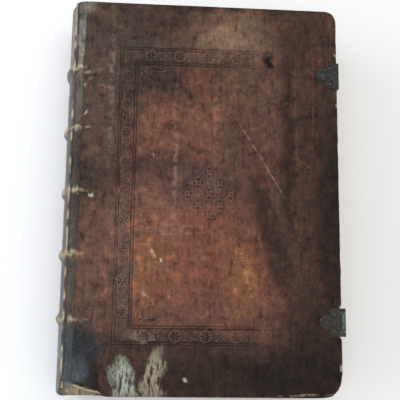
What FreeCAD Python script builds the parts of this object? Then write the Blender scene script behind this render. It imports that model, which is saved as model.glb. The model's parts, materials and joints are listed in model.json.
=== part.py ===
import FreeCAD, Part
import math
import os

# An old folio in full calf over wooden boards, closed and lying on its back cover.
# Millimetres. +Z is up, the back (spine) is towards -X, the fore edge towards +X, the head towards +Y.
# While it is drawn, x = 0 is the line of the two joints and y = 0 is the middle of the height.
# The last step moves everything so that the origin is under the middle of the whole book.

os.makedirs("parts", exist_ok=True)
V = FreeCAD.Vector

# Boards and their leather
board_height = 320.0
board_width = 216.4
board_thick = 6.5
board_corner_radius = 9.0
board_edge_bevel = 1.5
leather_thick = 1.2
leather_edge_round = 2.4
turn_in_width = 18.0
turn_in_thick = 0.8
pastedown_thick = 0.3
square_width = 5.0

# Pages
text_thick = 43.0
fore_edge_hollow = 5.0

# Joints and the rounded back
joint_gap = 0.3
board_joint_gap = 0.6
shoulder_gap = 0.2
leaf_gap = 0.3
joint_bevel_width = 5.4
joint_bevel_drop = 2.0
back_round = 8.0
back_half_angle = 36.0
lining_thick = 0.4
cap_lip_width = 8.0
cap_round = 3.0
cap_facets = 3

# Sewing cords under the raised bands, and their ends laced into the boards
band_count = 5
band_pitch = 0.16 * board_height
cord_radius = 3.0
band_half_width = 5.2
band_facets = 4
band_taper_angle = 30.0
slip_width = 5.0
slip_thick = 2.4
slip_reach = 16.0
slip_hole_length = 5.0
slip_peg_side = 2.4
slip_rise_angle = 35.0
slip_cover = 1.2

# Endbands at head and tail
endband_radius = 2.4
endband_sink = 2.0
endband_half_span = 20.5
endband_facets = 4

# Worn and torn places
worn_corner_x = 7.5
worn_corner_y = 13.0
torn_cap_height = 16.0
torn_cap_depth = 7.0
torn_edge_length = 34.0
torn_edge_depth = 2.6

# Blind tooling
tool_depth = 0.4
fillet_width = 0.9
fillet_pitch = 2.0
roll_margin_side = 34.7
roll_margin_end = 38.0
roll_band_width = 14.5
roll_pitch = 24.0
rosette_radius = 4.8
rosette_waist = 0.6
rosette_petals = 4
leaf_length = 9.0
leaf_width = 3.4
leaf_widest = 0.4
leaf_lean = 25.0
stamp_radius = 5.8
stamp_waist = 0.5
stamp_pitch = 17.5
corner_stamp_length = 17.0
corner_stamp_inset = 3.0
corner_stamp_spread = 38.0
corner_stamp_start = 4.0

# Clasps: hinge plates on the front board, catch plates on the back board
clasp_from_end = 57.5
plate_thick = 0.8
plate_half_width = 11.2
plate_round_sides = 20
lobe_radius = 6.0
lobe_neck = 1.0
lobe_centre_back = 12.2
ring_radius = 4.0
ring_width = 1.0
ring_height = 0.6
side_ring_radius = 3.0
side_ring_back = 6.2
side_ring_offset = 6.6
pin_radius = 1.1
pin_out = 1.1
ear_radius = 2.0
sleeve_radius = 2.1
sleeve_half_length = 7.25
sleeve_clear = 0.08
knuckle_gap = 0.3
hinge_recess_depth = 1.6
hinge_recess_half_width = 12.2
arm_thick = 0.9
arm_length = 54.4
arm_half_width = 6.75
arm_taper_start = 8.0
arm_taper_end = 16.0
arm_tip_half_width = 5.0
arm_rib_height = 0.5
arm_rib_half_width = 0.8
arm_rib_start = 6.0
arm_rib_end = 4.0
hook_length = 1.4
hook_half_width = 3.5
hang_angle = 1.9
catch_leg_height = 8.2
catch_half_width = 9.0
catch_length = 17.0
catch_lip = 1.5
catch_nail_back = 3.0
catch_nail_front = 4.0
catch_nail_offset = 4.5
bent_edge_drop = 4.0
bent_edge_notches = 4
bent_edge_notch_width = 4.2
bent_edge_notch_depth = 3.0
nail_side = 1.2
nail_length = 5.0
nail_head_radius = 1.5
nail_head_height = 0.7
nail_head_flat = 0.5
nail_head_facets = 8

# Levels, from the table up
board_low = leather_thick
board_high = board_low + board_thick
turn_in_high = board_high + turn_in_thick
pastedown_high = turn_in_high + pastedown_thick
text_low = pastedown_high + leaf_gap
mid_z = text_low + text_thick / 2
book_thick = 2 * mid_z

# Places across the book
board_near = board_joint_gap
board_far = board_near + board_width
leather_far = board_far + leather_thick
board_half = board_height / 2
leather_half = board_half + leather_thick
text_far = board_far - square_width
text_half = board_half - square_width
crease_x = joint_gap + joint_bevel_width
cover_centre_x = (joint_gap + leather_far) / 2
roll_frame_width = board_width - 2 * roll_margin_side
roll_frame_height = board_height - 2 * roll_margin_end
clasp_y = board_half - clasp_from_end

# The round of the back: an arc through both joint lines, standing out by back_round
joint_half_height = mid_z - joint_bevel_drop
back_radius = (joint_half_height ** 2 + back_round ** 2) / (2 * back_round)
back_axis_x = back_radius - back_round
lining_radius = back_radius - leather_thick
text_radius = lining_radius - lining_thick
band_radius = text_radius + cord_radius + leather_thick
band_ys = [(i - (band_count - 1) / 2) * band_pitch for i in range(band_count)]

# The hinge pin of the clasp
plate_high = book_thick + plate_thick
pin_x = leather_far + pin_out
pin_z = plate_high - ear_radius


def box(x0, x1, y0, y1, z0, z1):
    return Part.makeBox(x1 - x0, y1 - y0, z1 - z0, V(x0, y0, z0))


def section_prism(points, y0, y1):
    """A solid whose section in x and z is given, running from y0 to y1."""
    wire = Part.makePolygon([V(x, y0, z) for x, z in points + points[:1]])
    return Part.Face(wire).extrude(V(0, y1 - y0, 0))


def plan_prism(points, z0, z1):
    """A solid whose outline in x and y is given, running from z0 to z1."""
    wire = Part.makePolygon([V(x, y, z0) for x, y in points + points[:1]])
    return Part.Face(wire).extrude(V(0, 0, z1 - z0))


def elevation_prism(points, x0, x1):
    """A solid whose outline in y and z is given, running from x0 to x1."""
    wire = Part.makePolygon([V(x0, y, z) for y, z in points + points[:1]])
    return Part.Face(wire).extrude(V(x1 - x0, 0, 0))


def filed_round(x, y, radius, sides):
    """The outline of a disc filed by hand: a ring of short straight sides."""
    turns = [2 * math.pi * (i + 0.5) / sides for i in range(sides)]
    return [(x + radius * math.cos(turn), y + radius * math.sin(turn)) for turn in turns]


def hump(base_radius, y, half_width, rise, facets):
    """Points (radius, y) of an arc that stands by rise over base_radius, centred on y."""
    arc_radius = (half_width ** 2 + rise ** 2) / (2 * rise)
    half_turn = math.atan2(half_width, arc_radius - rise)
    turns = [half_turn * (2 * i / facets - 1) for i in range(facets + 1)]
    foot = base_radius + rise - arc_radius
    return [(foot + arc_radius * math.cos(turn), y + arc_radius * math.sin(turn)) for turn in turns]


def back_section(points):
    """A flat section at the middle of the back, from points (radius, y)."""
    return Part.Face(Part.makePolygon([back_point(radius, y) for radius, y in points + points[:1]]))


def round_about_back(profile, half_angle):
    """Turn a flat section, drawn at the middle of the back, about the axis of the back."""
    axis_point = V(back_axis_x, 0, mid_z)
    start = profile.copy()
    start.rotate(axis_point, V(0, 1, 0), -half_angle)
    return start.revolve(axis_point, V(0, 1, 0), 2 * half_angle)


def back_point(radius, y):
    return V(back_axis_x - radius, y, mid_z)


def fused(shapes):
    return shapes[0].multiFuse(shapes[1:]).removeSplitter()


def pieces(shapes):
    return Part.makeCompound(shapes)


# Both covers are drawn as the back cover, outer face down. The front one is turned over.
def turned_over(shape):
    return shape.mirror(V(0, 0, mid_z), V(0, 0, 1))


def corner_edges(solid, far_x, half_y):
    """The two upright edges at the fore-edge corners."""
    found = []
    for edge in solid.Edges:
        middle = edge.CenterOfMass
        if abs(middle.x - far_x) < 0.01 and abs(abs(middle.y) - half_y) < 0.01:
            found.append(edge)
    return found


def outer_edges(solid, level):
    """The edges of the outer face, without the one along the joint."""
    found = []
    for edge in solid.Edges:
        bounds = edge.BoundBox
        at_level = abs(bounds.ZMin - level) < 0.01 and abs(bounds.ZMax - level) < 0.01
        if at_level and bounds.XMax > crease_x + 1:
            found.append(edge)
    return found


def cover_slab(near, far, half, low, high, corner):
    slab = box(near, far, -half, half, low, high)
    return slab.makeFillet(corner, corner_edges(slab, far, half))


def joint_bevelled(slab, near, half, low):
    """The outer face slopes down towards the joint."""
    near_drop = (crease_x - near) * joint_bevel_drop / crease_x
    return slab.cut(section_prism([(near, low), (crease_x, low), (near, low + near_drop)], -half, half))


def board_blank(near):
    slab = cover_slab(near, board_far, board_half, board_low, board_high, board_corner_radius)
    slab = slab.makeChamfer(board_edge_bevel, outer_edges(slab, board_low))
    return joint_bevelled(slab, near, board_half, board_low)


def slip_pegs():
    half = slip_peg_side / 2
    return [box(slip_reach - half, slip_reach + half, y - half, y + half, board_low, board_high)
            for y in band_ys]


def cord_slips():
    """The ends of the sewing cords: they rise from the joint, lie in channels and go down mortises."""
    solids = []
    rate = math.tan(math.radians(slip_rise_angle))
    rise_start = joint_bevel_drop + slip_cover / math.cos(math.radians(slip_rise_angle))
    near_z = rise_start - board_near * rate
    flat_x = (rise_start - board_low) / rate
    floor_z = board_low + slip_thick
    hole_near = slip_reach - slip_hole_length / 2
    hole_far = slip_reach + slip_hole_length / 2
    outline = [(board_near, near_z), (flat_x, board_low), (hole_far, board_low), (hole_far, board_high),
               (hole_near, board_high), (hole_near, floor_z), (board_near, floor_z)]
    for y, peg in zip(band_ys, slip_pegs()):
        solids.append(section_prism(outline, y - slip_width / 2, y + slip_width / 2).cut(peg))
    return solids


def slip_humps():
    """Where the leather is moulded over the cord ends, beside the joint."""
    solids = []
    rate = math.tan(math.radians(slip_rise_angle))
    half = slip_width / 2 + leather_thick
    for y in band_ys:
        outline = [(joint_gap, joint_bevel_drop - joint_gap * rate), (joint_bevel_drop / rate, 0),
                   (crease_x + 1, 0), (crease_x + 1, board_low + joint_bevel_drop),
                   (joint_gap, board_low + joint_bevel_drop)]
        solids.append(section_prism(outline, y - half, y + half))
    return solids


def rectangle_groove(half_x, half_y):
    outer = box(cover_centre_x - half_x, cover_centre_x + half_x, -half_y, half_y, -1, tool_depth)
    inner = box(cover_centre_x - half_x + fillet_width, cover_centre_x + half_x - fillet_width,
                -half_y + fillet_width, half_y - fillet_width, -2, tool_depth + 1)
    return outer.cut(inner)


def star_outline(x, y, outer, inner, points, turn):
    outline = []
    for i in range(2 * points):
        radius = outer if i % 2 == 0 else inner
        angle = math.radians(turn + i * 180 / points)
        outline.append((x + radius * math.cos(angle), y + radius * math.sin(angle)))
    return outline


def leaf_outline(x, y, length, width, turn):
    """A pointed leaf, with its stem end at x, y."""
    along = [(0, 0), (leaf_widest, 0.5), (1, 0), (leaf_widest, -0.5)]
    cos_t = math.cos(math.radians(turn))
    sin_t = math.sin(math.radians(turn))
    outline = []
    for a, b in along:
        u = a * length
        v = b * width
        outline.append((x + u * cos_t - v * sin_t, y + u * sin_t + v * cos_t))
    return outline


def tooling_outlines():
    """Outlines of the stamped ornament: a rolled frame, four corner sprays, a centre lozenge."""
    half_x = (roll_frame_width - roll_band_width) / 2
    half_y = (roll_frame_height - roll_band_width) / 2
    count_x = int(2 * half_x / roll_pitch)
    count_y = int(2 * half_y / roll_pitch)
    outlines = []

    def rosette(x, y):
        outlines.append(star_outline(x, y, rosette_radius, rosette_waist * rosette_radius, rosette_petals, 0))

    def leaf(x, y, turn):
        start_x = x - leaf_length / 2 * math.cos(math.radians(turn))
        start_y = y - leaf_length / 2 * math.sin(math.radians(turn))
        outlines.append(leaf_outline(start_x, start_y, leaf_length, leaf_width, turn))

    for side in (-1, 1):
        for i in range(count_y):
            y = (i - (count_y - 1) / 2) * roll_pitch
            rosette(cover_centre_x + side * half_x, y)
            if i:
                leaf(cover_centre_x + side * half_x, y - roll_pitch / 2, 90 - side * leaf_lean)
        for i in range(count_x):
            x = cover_centre_x + (i - (count_x - 1) / 2) * roll_pitch
            rosette(x, side * half_y)
            if i:
                leaf(x - roll_pitch / 2, side * half_y, side * leaf_lean)

    inner_x = roll_frame_width / 2 - roll_band_width - corner_stamp_inset
    inner_y = roll_frame_height / 2 - roll_band_width - corner_stamp_inset
    for sx in (-1, 1):
        for sy in (-1, 1):
            towards_centre = math.degrees(math.atan2(-sy, -sx))
            for step in (-1, 0, 1):
                turn = towards_centre + step * corner_stamp_spread
                start_x = cover_centre_x + sx * inner_x + corner_stamp_start * math.cos(math.radians(turn))
                start_y = sy * inner_y + corner_stamp_start * math.sin(math.radians(turn))
                outlines.append(leaf_outline(start_x, start_y, corner_stamp_length, leaf_width, turn))

    for i in (-1, 0, 1):
        for j in (-1, 0, 1):
            x = cover_centre_x + (i - j) * stamp_pitch / 2
            y = (i + j) * stamp_pitch / 2
            outlines.append(star_outline(x, y, stamp_radius, stamp_waist * stamp_radius, 4, 0))
    return outlines


def tooling():
    """Everything that the tools press into the outer face of a cover."""
    cutters = []
    for inset in (0, fillet_pitch, roll_band_width - fillet_pitch, roll_band_width):
        cutters.append(rectangle_groove(roll_frame_width / 2 - inset, roll_frame_height / 2 - inset))
    for outline in tooling_outlines():
        cutters.append(plan_prism(outline, -1, tool_depth))
    return pieces(cutters)


def cover_leather():
    """Leather over the outer face, round three edges, and turned in over the inner face."""
    envelope = cover_slab(joint_gap, leather_far, leather_half, 0, turn_in_high,
                          board_corner_radius + leather_thick)
    envelope = envelope.makeFillet(leather_edge_round, outer_edges(envelope, 0))
    envelope = joint_bevelled(envelope, joint_gap, leather_half, 0)
    window = box(-joint_gap, board_far - turn_in_width, turn_in_width - board_half,
                 board_half - turn_in_width, board_high, turn_in_high + 1)
    sheet = envelope.fuse(pieces(slip_humps()))
    sheet = sheet.cut(board_blank(-joint_gap)).cut(window).cut(pieces(cord_slips()))
    return sheet.cut(tooling())


def pastedown():
    """One leaf glued to the inner face, stepping up over the turned-in leather."""
    window_x = board_far - turn_in_width
    window_y = board_half - turn_in_width
    inner_x = window_x - pastedown_thick
    inner_y = window_y - pastedown_thick
    field = box(board_near, window_x, -window_y, window_y, board_high, board_high + pastedown_thick)
    border = box(board_near, text_far, -text_half, text_half, turn_in_high, pastedown_high)
    riser = box(board_near, window_x, -window_y, window_y, board_high, pastedown_high)
    opening = box(0, inner_x, -inner_y, inner_y, board_high + pastedown_thick, pastedown_high + 1)
    return fused([field, border.cut(opening), riser.cut(opening)])


def cover_board():
    return board_blank(board_near).cut(pieces(cord_slips() + slip_pegs()))


def raised_ring(x, y, z, radius):
    """A low raised ring of a cast plate."""
    outer = plan_prism(filed_round(x, y, radius + ring_width / 2, plate_round_sides), z, z + ring_height)
    inner = plan_prism(filed_round(x, y, radius - ring_width / 2, plate_round_sides), z, z + ring_height)
    return outer.cut(inner)


def plate_body(y, hinge_x):
    """A hinge plate: three round lobes, each with a raised ring, and a straight hinge end."""
    base = book_thick
    lobe_x = leather_far - lobe_centre_back
    side_x = leather_far - side_ring_back
    side_lobe_radius = plate_half_width - side_ring_offset
    neck_half = lobe_radius - lobe_neck
    solids = [plan_prism(filed_round(lobe_x, y, lobe_radius, plate_round_sides), base, plate_high)]
    solids.append(box(lobe_x, hinge_x, y - neck_half, y + neck_half, base, plate_high))
    for side in (-1, 1):
        ring_y = y + side * side_ring_offset
        lobe = filed_round(side_x, ring_y, side_lobe_radius, plate_round_sides)
        solids.append(plan_prism(lobe, base, plate_high))
        solids.append(raised_ring(side_x, ring_y, plate_high, side_ring_radius))
    solids.append(box(side_x, hinge_x, y - plate_half_width, y + plate_half_width, base, plate_high))
    solids.append(raised_ring(lobe_x, y, plate_high, ring_radius))
    return fused(solids)


def hinge_plate(y):
    """The lower plate, whole, with an ear at each side rolled round the pin."""
    body = plate_body(y, pin_x)
    knuckle_half = sleeve_half_length + knuckle_gap
    notch = box(pin_x - sleeve_radius - knuckle_gap, pin_x + ear_radius,
                y - knuckle_half, y + knuckle_half, book_thick - 1, plate_high + 1)
    body = body.cut(notch)
    ears = []
    ear_length = plate_half_width - knuckle_half
    for start_y in (y - plate_half_width, y + knuckle_half):
        ears.append(Part.makeCylinder(ear_radius, ear_length, V(pin_x, start_y, pin_z), V(0, 1, 0)))
    plate = fused([body] + ears)
    bore = Part.makeCylinder(pin_radius, 4 * plate_half_width,
                             V(pin_x, y - 2 * plate_half_width, pin_z), V(0, 1, 0))
    return plate.cut(bore)


def broken_plate(y):
    """The upper plate: its ears are gone and its torn end is bent down over the board."""
    bend_x = leather_far + joint_gap
    bend_far = bend_x + plate_thick
    low_z = plate_high - bent_edge_drop
    body = plate_body(y, bend_x)
    bent = box(bend_x, bend_far, y - plate_half_width, y + plate_half_width, low_z, plate_high)
    pitch = 2 * plate_half_width / bent_edge_notches
    notches = []
    for i in range(bent_edge_notches):
        notch_y = y + (i - (bent_edge_notches - 1) / 2) * pitch
        depth = bent_edge_notch_depth / (1 + i % 3)
        outline = [(notch_y - bent_edge_notch_width / 2, low_z), (notch_y, low_z + depth),
                   (notch_y + bent_edge_notch_width / 2, low_z)]
        notches.append(elevation_prism(outline, bend_x, bend_far))
    return fused([body, bent.cut(pieces(notches))])


def plate_nail_places(y):
    lobe_x = leather_far - lobe_centre_back
    side_x = leather_far - side_ring_back
    return [(lobe_x, y), (side_x, y - side_ring_offset), (side_x, y + side_ring_offset)]


def forged_head(x, y, z0, z1, top_radius, facets):
    """A hammered nail head, narrowing from its full radius to top_radius."""
    rings = []
    for radius, z in ((nail_head_radius, z0), (top_radius, z1)):
        outline = filed_round(x, y, radius, facets)
        rings.append(Part.makePolygon([V(a, b, z) for a, b in outline + outline[:1]]))
    return Part.makeLoft(rings, True, True)


def rose_nail(x, y):
    """A forged nail: square shank, and a head with hammered facets on top of the plate."""
    half = nail_side / 2
    shank = box(x - half, x + half, y - half, y + half, plate_high - nail_length, plate_high)
    head = forged_head(x, y, plate_high, plate_high + nail_head_height, nail_head_flat, nail_head_facets)
    return fused([shank, head])


def flush_nail(x, y):
    """A nail of a catch plate, its square head let in flush so that the book lies flat."""
    half = nail_side / 2
    shank = box(x - half, x + half, y - half, y + half, 0, nail_length)
    return fused([shank, forged_head(x, y, 0, plate_thick, nail_side / math.sqrt(2), 4)])


def catch_plate(y):
    """A bent plate let into the back board's leather, with a lip at the fore edge for the hook."""
    near = leather_far - catch_length
    leg_far = leather_far + plate_thick
    foot = box(near + catch_half_width, leg_far, y - catch_half_width, y + catch_half_width, 0, plate_thick)
    round_end = filed_round(near + catch_half_width, y, catch_half_width, plate_round_sides)
    tip = plan_prism(round_end, 0, plate_thick)
    leg = box(leather_far, leg_far, y - catch_half_width, y + catch_half_width, 0, catch_leg_height)
    lip_radius = catch_lip / 2
    lip_z = catch_leg_height - lip_radius
    lip = Part.makeCylinder(lip_radius, 2 * catch_half_width,
                            V(leg_far + lip_radius, y - catch_half_width, lip_z), V(0, 1, 0))
    web = box(leg_far, leg_far + lip_radius, y - catch_half_width, y + catch_half_width,
              lip_z, catch_leg_height)
    return fused([foot, tip, leg, lip, web])


def catch_nail_places(y):
    middle = leather_far - catch_length + catch_half_width
    front = middle + catch_nail_front
    return [(middle - catch_nail_back, y), (front, y - catch_nail_offset), (front, y + catch_nail_offset)]


def clasp_arm(y):
    """The clasp: a sleeve on the pin, a tapering arm down the fore edge, and a hook at its end."""
    sleeve = Part.makeCylinder(sleeve_radius, 2 * sleeve_half_length,
                               V(pin_x, y - sleeve_half_length, pin_z), V(0, 1, 0))
    arm_near = pin_x + sleeve_radius - arm_thick
    arm_far = pin_x + sleeve_radius
    tip_z = pin_z - arm_length
    half_outline = [(arm_half_width, pin_z), (arm_half_width, pin_z - arm_taper_start),
                    (arm_tip_half_width, pin_z - arm_taper_end), (arm_tip_half_width, tip_z)]
    outline = [(y + across, z) for across, z in half_outline]
    outline += [(y - across, z) for across, z in reversed(half_outline)]
    arm = elevation_prism(outline, arm_near, arm_far)
    hook = box(arm_near - hook_length, arm_near, y - hook_half_width, y + hook_half_width,
               tip_z, tip_z + arm_thick)
    rib = box(arm_far, arm_far + arm_rib_height, y - arm_rib_half_width, y + arm_rib_half_width,
              tip_z + arm_rib_end, pin_z - arm_rib_start)
    bore = Part.makeCylinder(pin_radius + sleeve_clear, 4 * sleeve_half_length,
                             V(pin_x, y - 2 * sleeve_half_length, pin_z), V(0, 1, 0))
    arm = fused([sleeve, arm, hook, rib]).cut(bore)
    arm.rotate(V(pin_x, 0, pin_z), V(0, 1, 0), -hang_angle)
    return arm


def hinge_pin(y):
    return Part.makeCylinder(pin_radius, 2 * plate_half_width,
                             V(pin_x, y - plate_half_width, pin_z), V(0, 1, 0))


def hinge_recess(far, y, spare):
    half = hinge_recess_half_width + spare
    return box(far - hinge_recess_depth, far + 5, y - half, y + half, 0, book_thick + 1)


def worn_corner(far, half):
    """The fore-edge corner at the tail of the front board is knocked off."""
    outline = [(far + 1, -half - 1), (far - worn_corner_x, -half - 1), (far - worn_corner_x, -half),
               (far - 0.35 * worn_corner_x, -half + 0.4 * worn_corner_y), (far, -half + worn_corner_y),
               (far + 1, -half + worn_corner_y)]
    return plan_prism(outline, mid_z, book_thick + 1)


def text_block():
    """All the leaves as one block: rounded and backed, with a hollow fore edge."""
    half = text_thick / 2
    shoulder_z = math.sqrt(text_radius ** 2 - (back_axis_x - shoulder_gap) ** 2)
    top = [V(shoulder_gap, -text_half, mid_z + shoulder_z), V(shoulder_gap, -text_half, mid_z + half),
           V(text_far, -text_half, mid_z + half)]
    bottom = [V(text_far, -text_half, mid_z - half), V(shoulder_gap, -text_half, mid_z - half),
              V(shoulder_gap, -text_half, mid_z - shoulder_z)]
    hollow = Part.Arc(top[2], V(text_far - fore_edge_hollow, -text_half, mid_z), bottom[0]).toShape()
    back = Part.Arc(bottom[2], back_point(text_radius, -text_half), top[0]).toShape()
    lines = [Part.makeLine(a, b) for a, b in (top[:2], top[1:], bottom[:2], bottom[1:])]
    wire = Part.Wire([lines[0], lines[1], hollow, lines[2], lines[3], back])
    return Part.Face(wire).extrude(V(0, 2 * text_half, 0))


def joint_trim(cover):
    """The room between the two joints, under a line that falls away from each of them."""
    rate = math.tan(math.radians(band_taper_angle))
    reach = 3 * back_round
    drop = cover / math.cos(math.radians(band_taper_angle))
    top_z = mid_z + joint_half_height - drop
    low_z = mid_z - joint_half_height + drop
    near_fall = joint_gap * rate
    far_fall = reach * rate
    outline = [(-joint_gap, top_z - near_fall), (-reach, top_z - far_fall), (-reach, low_z + far_fall),
               (-joint_gap, low_z + near_fall)]
    return section_prism(outline, -board_height, board_height)


def cord_hump(y):
    return hump(text_radius, y, cord_radius, cord_radius, band_facets)


def sewing_cord(y):
    cord = round_about_back(back_section(cord_hump(y)), back_half_angle)
    return cord.common(joint_trim(leather_thick))


def spine_linings():
    """Parchment strips glued across the back between the cords."""
    edges = [-text_half] + band_ys + [text_half]
    strips = []
    for low, high in zip(edges[:-1], edges[1:]):
        low_y = low + (cord_radius if low in band_ys else 0)
        high_y = high - (cord_radius if high in band_ys else 0)
        strip = back_section([(text_radius, low_y), (text_radius, high_y),
                              (lining_radius, high_y), (lining_radius, low_y)])
        strips.append(round_about_back(strip, back_half_angle).common(joint_trim(leather_thick)))
    return strips


def endband(side):
    """The sewn band at one end of the back: a round core that sits on the leaves' edge."""
    centre_radius = text_radius - endband_radius
    start_turn = math.asin(endband_sink / endband_radius)
    sweep = math.pi + 2 * start_turn
    points = []
    for i in range(endband_facets + 1):
        turn = sweep * i / endband_facets - start_turn
        points.append((centre_radius + endband_radius * math.cos(turn),
                       side * (text_half + endband_sink + endband_radius * math.sin(turn))))
    half_angle = math.degrees(math.asin(endband_half_span / centre_radius))
    return round_about_back(back_section(points), half_angle)


def spine_leather():
    """Leather over the back: one turned section with five humps and a cap at each end."""
    lip_radius = back_radius - cap_lip_width
    outside = []
    inside = [(lining_radius, -board_half)]
    for y in band_ys:
        outside += hump(back_radius, y, band_half_width, band_radius - back_radius, band_facets)
        lifted = [(radius, end_y) for radius, end_y in cord_hump(y) if radius > lining_radius]
        inside += [(lining_radius, y - cord_radius)] + lifted + [(lining_radius, y + cord_radius)]
    inside.append((lining_radius, board_half))
    head_cap = []
    for i in range(cap_facets + 1):
        turn = math.radians(90) * i / cap_facets
        head_cap.append((back_radius - cap_round + cap_round * math.cos(turn),
                         leather_half - cap_round + cap_round * math.sin(turn)))
    tail_cap = [(radius, -y) for radius, y in reversed(head_cap)]
    head_lip = [(lip_radius, leather_half), (lip_radius, board_half)]
    tail_lip = [(lip_radius, -board_half), (lip_radius, -leather_half)]
    section = tail_cap + outside + head_cap + head_lip + list(reversed(inside)) + tail_lip
    hide = round_about_back(back_section(section), back_half_angle).common(joint_trim(0))
    return hide.cut(torn_cap())


def torn_cap():
    """The piece that is missing from the tail cap, next to the front joint."""
    low = -leather_half - 1
    high = -leather_half + torn_cap_height
    top_z = mid_z + joint_half_height + 1
    bites = [(0.6, 0), (1, 0.3), (0.7, 0.5), (0.45, 0.8), (0.25, 1)]
    outline = [(low, top_z)]
    outline += [(low + share * (high - low), top_z - depth * torn_cap_depth) for share, depth in bites]
    outline.append((low, top_z - torn_cap_depth))
    return elevation_prism(outline, -4 * back_round, back_round)


def torn_edge():
    """The strip of leather lifted from the tail edge of the front board, near the joint."""
    low_y = -leather_half - 1
    near = joint_gap - 1
    bites = [(0, 1), (0.6, 0.7), (0.8, 0.25), (1, 0)]
    outline = [(near, low_y)]
    outline += [(near + share * torn_edge_length, low_y + 1 + depth * torn_edge_depth)
                for share, depth in bites]
    outline.append((near + torn_edge_length, low_y))
    return plan_prism(outline, board_high + text_thick, book_thick + 1)


# The back cover
catch_nails = [flush_nail(x, y) for side in (-1, 1) for x, y in catch_nail_places(side * clasp_y)]
catches = {"upper_catch_plate": catch_plate(clasp_y), "lower_catch_plate": catch_plate(-clasp_y)}
catch_bulk = pieces(list(catches.values()) + catch_nails)
nodes = {
    "back_board": cover_board().cut(pieces(catch_nails)),
    "back_cover_leather": cover_leather().cut(catch_bulk),
    "back_pastedown": pastedown(),
    "back_cord_slips": pieces(cord_slips()),
    "back_slip_pegs": pieces(slip_pegs()),
    "catch_plate_nails": pieces(catch_nails),
}
for name, shape in catches.items():
    nodes[name] = shape.cut(pieces(catch_nails))

# The leaves, their sewing and the leather of the back
nodes["text_block"] = text_block()
nodes["spine_linings"] = pieces(spine_linings())
nodes["head_endband"] = endband(1)
nodes["tail_endband"] = endband(-1)
nodes["spine_leather"] = spine_leather()
nodes["sewing_cords"] = pieces([sewing_cord(y) for y in band_ys])

# The front cover
plate_nails = [rose_nail(x, y) for side in (-1, 1) for x, y in plate_nail_places(side * clasp_y)]
nails = pieces(plate_nails)
front_board = turned_over(cover_board()).cut(worn_corner(board_far, board_half))
front_leather = turned_over(cover_leather()).cut(worn_corner(leather_far, leather_half))
nodes["front_board"] = front_board.cut(hinge_recess(board_far, -clasp_y, leather_thick)).cut(nails)
nodes["front_cover_leather"] = front_leather.cut(hinge_recess(leather_far, -clasp_y, 0)).cut(
    nails).cut(torn_edge())
nodes["front_pastedown"] = turned_over(pastedown())
nodes["front_cord_slips"] = turned_over(pieces(cord_slips()))
nodes["front_slip_pegs"] = turned_over(pieces(slip_pegs()))
nodes["upper_hinge_plate"] = broken_plate(clasp_y).cut(nails)
nodes["lower_hinge_plate"] = hinge_plate(-clasp_y).cut(nails)
nodes["hinge_plate_nails"] = nails
nodes["clasp_hinge_pin"] = hinge_pin(-clasp_y)

# The clasp
nodes["clasp_arm"] = clasp_arm(-clasp_y)

whole = Part.makeCompound(list(nodes.values()))
bounds = whole.optimalBoundingBox(False, False)
shift = V(-(bounds.XMin + bounds.XMax) / 2, 0, 0)
for name, shape in nodes.items():
    placed = shape.copy()
    placed.translate(shift)
    placed.exportStep("parts/%s.step" % name)

print("nodes", len(nodes), "box", [round(v, 3) for v in (bounds.XLength, bounds.YLength, bounds.ZLength)])
print("low corner", [round(v, 3) for v in (bounds.XMin, bounds.YMin, bounds.ZMin)])
print("joint axes x %.4f, z %.4f and %.4f" % (shift.x, joint_bevel_drop, book_thick - joint_bevel_drop))
print("clasp axis x %.4f, z %.4f" % (pin_x + shift.x, pin_z))
for name, shape in sorted(nodes.items()):
    kind = "valid" if shape.isValid() else "NOT VALID"
    print("%-22s %-9s solids %d volume %.1f" % (name, kind, len(shape.Solids), shape.Volume))
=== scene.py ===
# %% [markdown]
# # An old folio in tooled calf
# A closed book lies on its back cover. Calf is pasted over two oak boards and over the rounded back,
# where five cords make raised bands. The frame gives every rigid piece its place, and this script
# gives the pieces their skins, their ornament and their finish.
# All sizes below are millimetres in the row frame until a mesh is written.

import json
import math
import bmesh
import bpy
import numpy as np
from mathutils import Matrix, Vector, noise

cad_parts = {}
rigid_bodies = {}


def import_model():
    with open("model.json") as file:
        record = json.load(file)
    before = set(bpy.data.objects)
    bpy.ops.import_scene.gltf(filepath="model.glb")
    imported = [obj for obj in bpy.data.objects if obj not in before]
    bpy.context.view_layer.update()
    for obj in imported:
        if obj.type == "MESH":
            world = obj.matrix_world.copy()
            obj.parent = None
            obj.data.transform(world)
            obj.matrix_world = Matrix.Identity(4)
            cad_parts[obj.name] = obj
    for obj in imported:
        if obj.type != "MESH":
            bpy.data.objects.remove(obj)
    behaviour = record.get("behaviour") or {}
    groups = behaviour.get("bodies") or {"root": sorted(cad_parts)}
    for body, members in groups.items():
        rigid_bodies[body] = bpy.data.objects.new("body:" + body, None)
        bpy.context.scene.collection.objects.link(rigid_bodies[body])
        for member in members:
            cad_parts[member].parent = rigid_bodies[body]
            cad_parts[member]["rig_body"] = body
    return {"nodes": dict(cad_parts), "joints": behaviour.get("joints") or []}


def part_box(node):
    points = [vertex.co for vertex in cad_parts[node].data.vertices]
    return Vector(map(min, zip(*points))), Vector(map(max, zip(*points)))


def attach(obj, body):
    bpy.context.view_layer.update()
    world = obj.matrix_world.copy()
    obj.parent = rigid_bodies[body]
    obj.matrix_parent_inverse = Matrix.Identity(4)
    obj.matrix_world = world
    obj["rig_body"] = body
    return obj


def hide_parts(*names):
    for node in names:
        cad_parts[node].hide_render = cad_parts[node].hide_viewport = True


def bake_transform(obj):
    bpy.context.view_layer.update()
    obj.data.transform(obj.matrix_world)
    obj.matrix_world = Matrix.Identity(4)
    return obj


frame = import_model()
scene = bpy.context.scene
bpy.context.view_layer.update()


def corners_mm(node_name):
    low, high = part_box(node_name)
    return np.array(low) * 1000, np.array(high) * 1000


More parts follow.
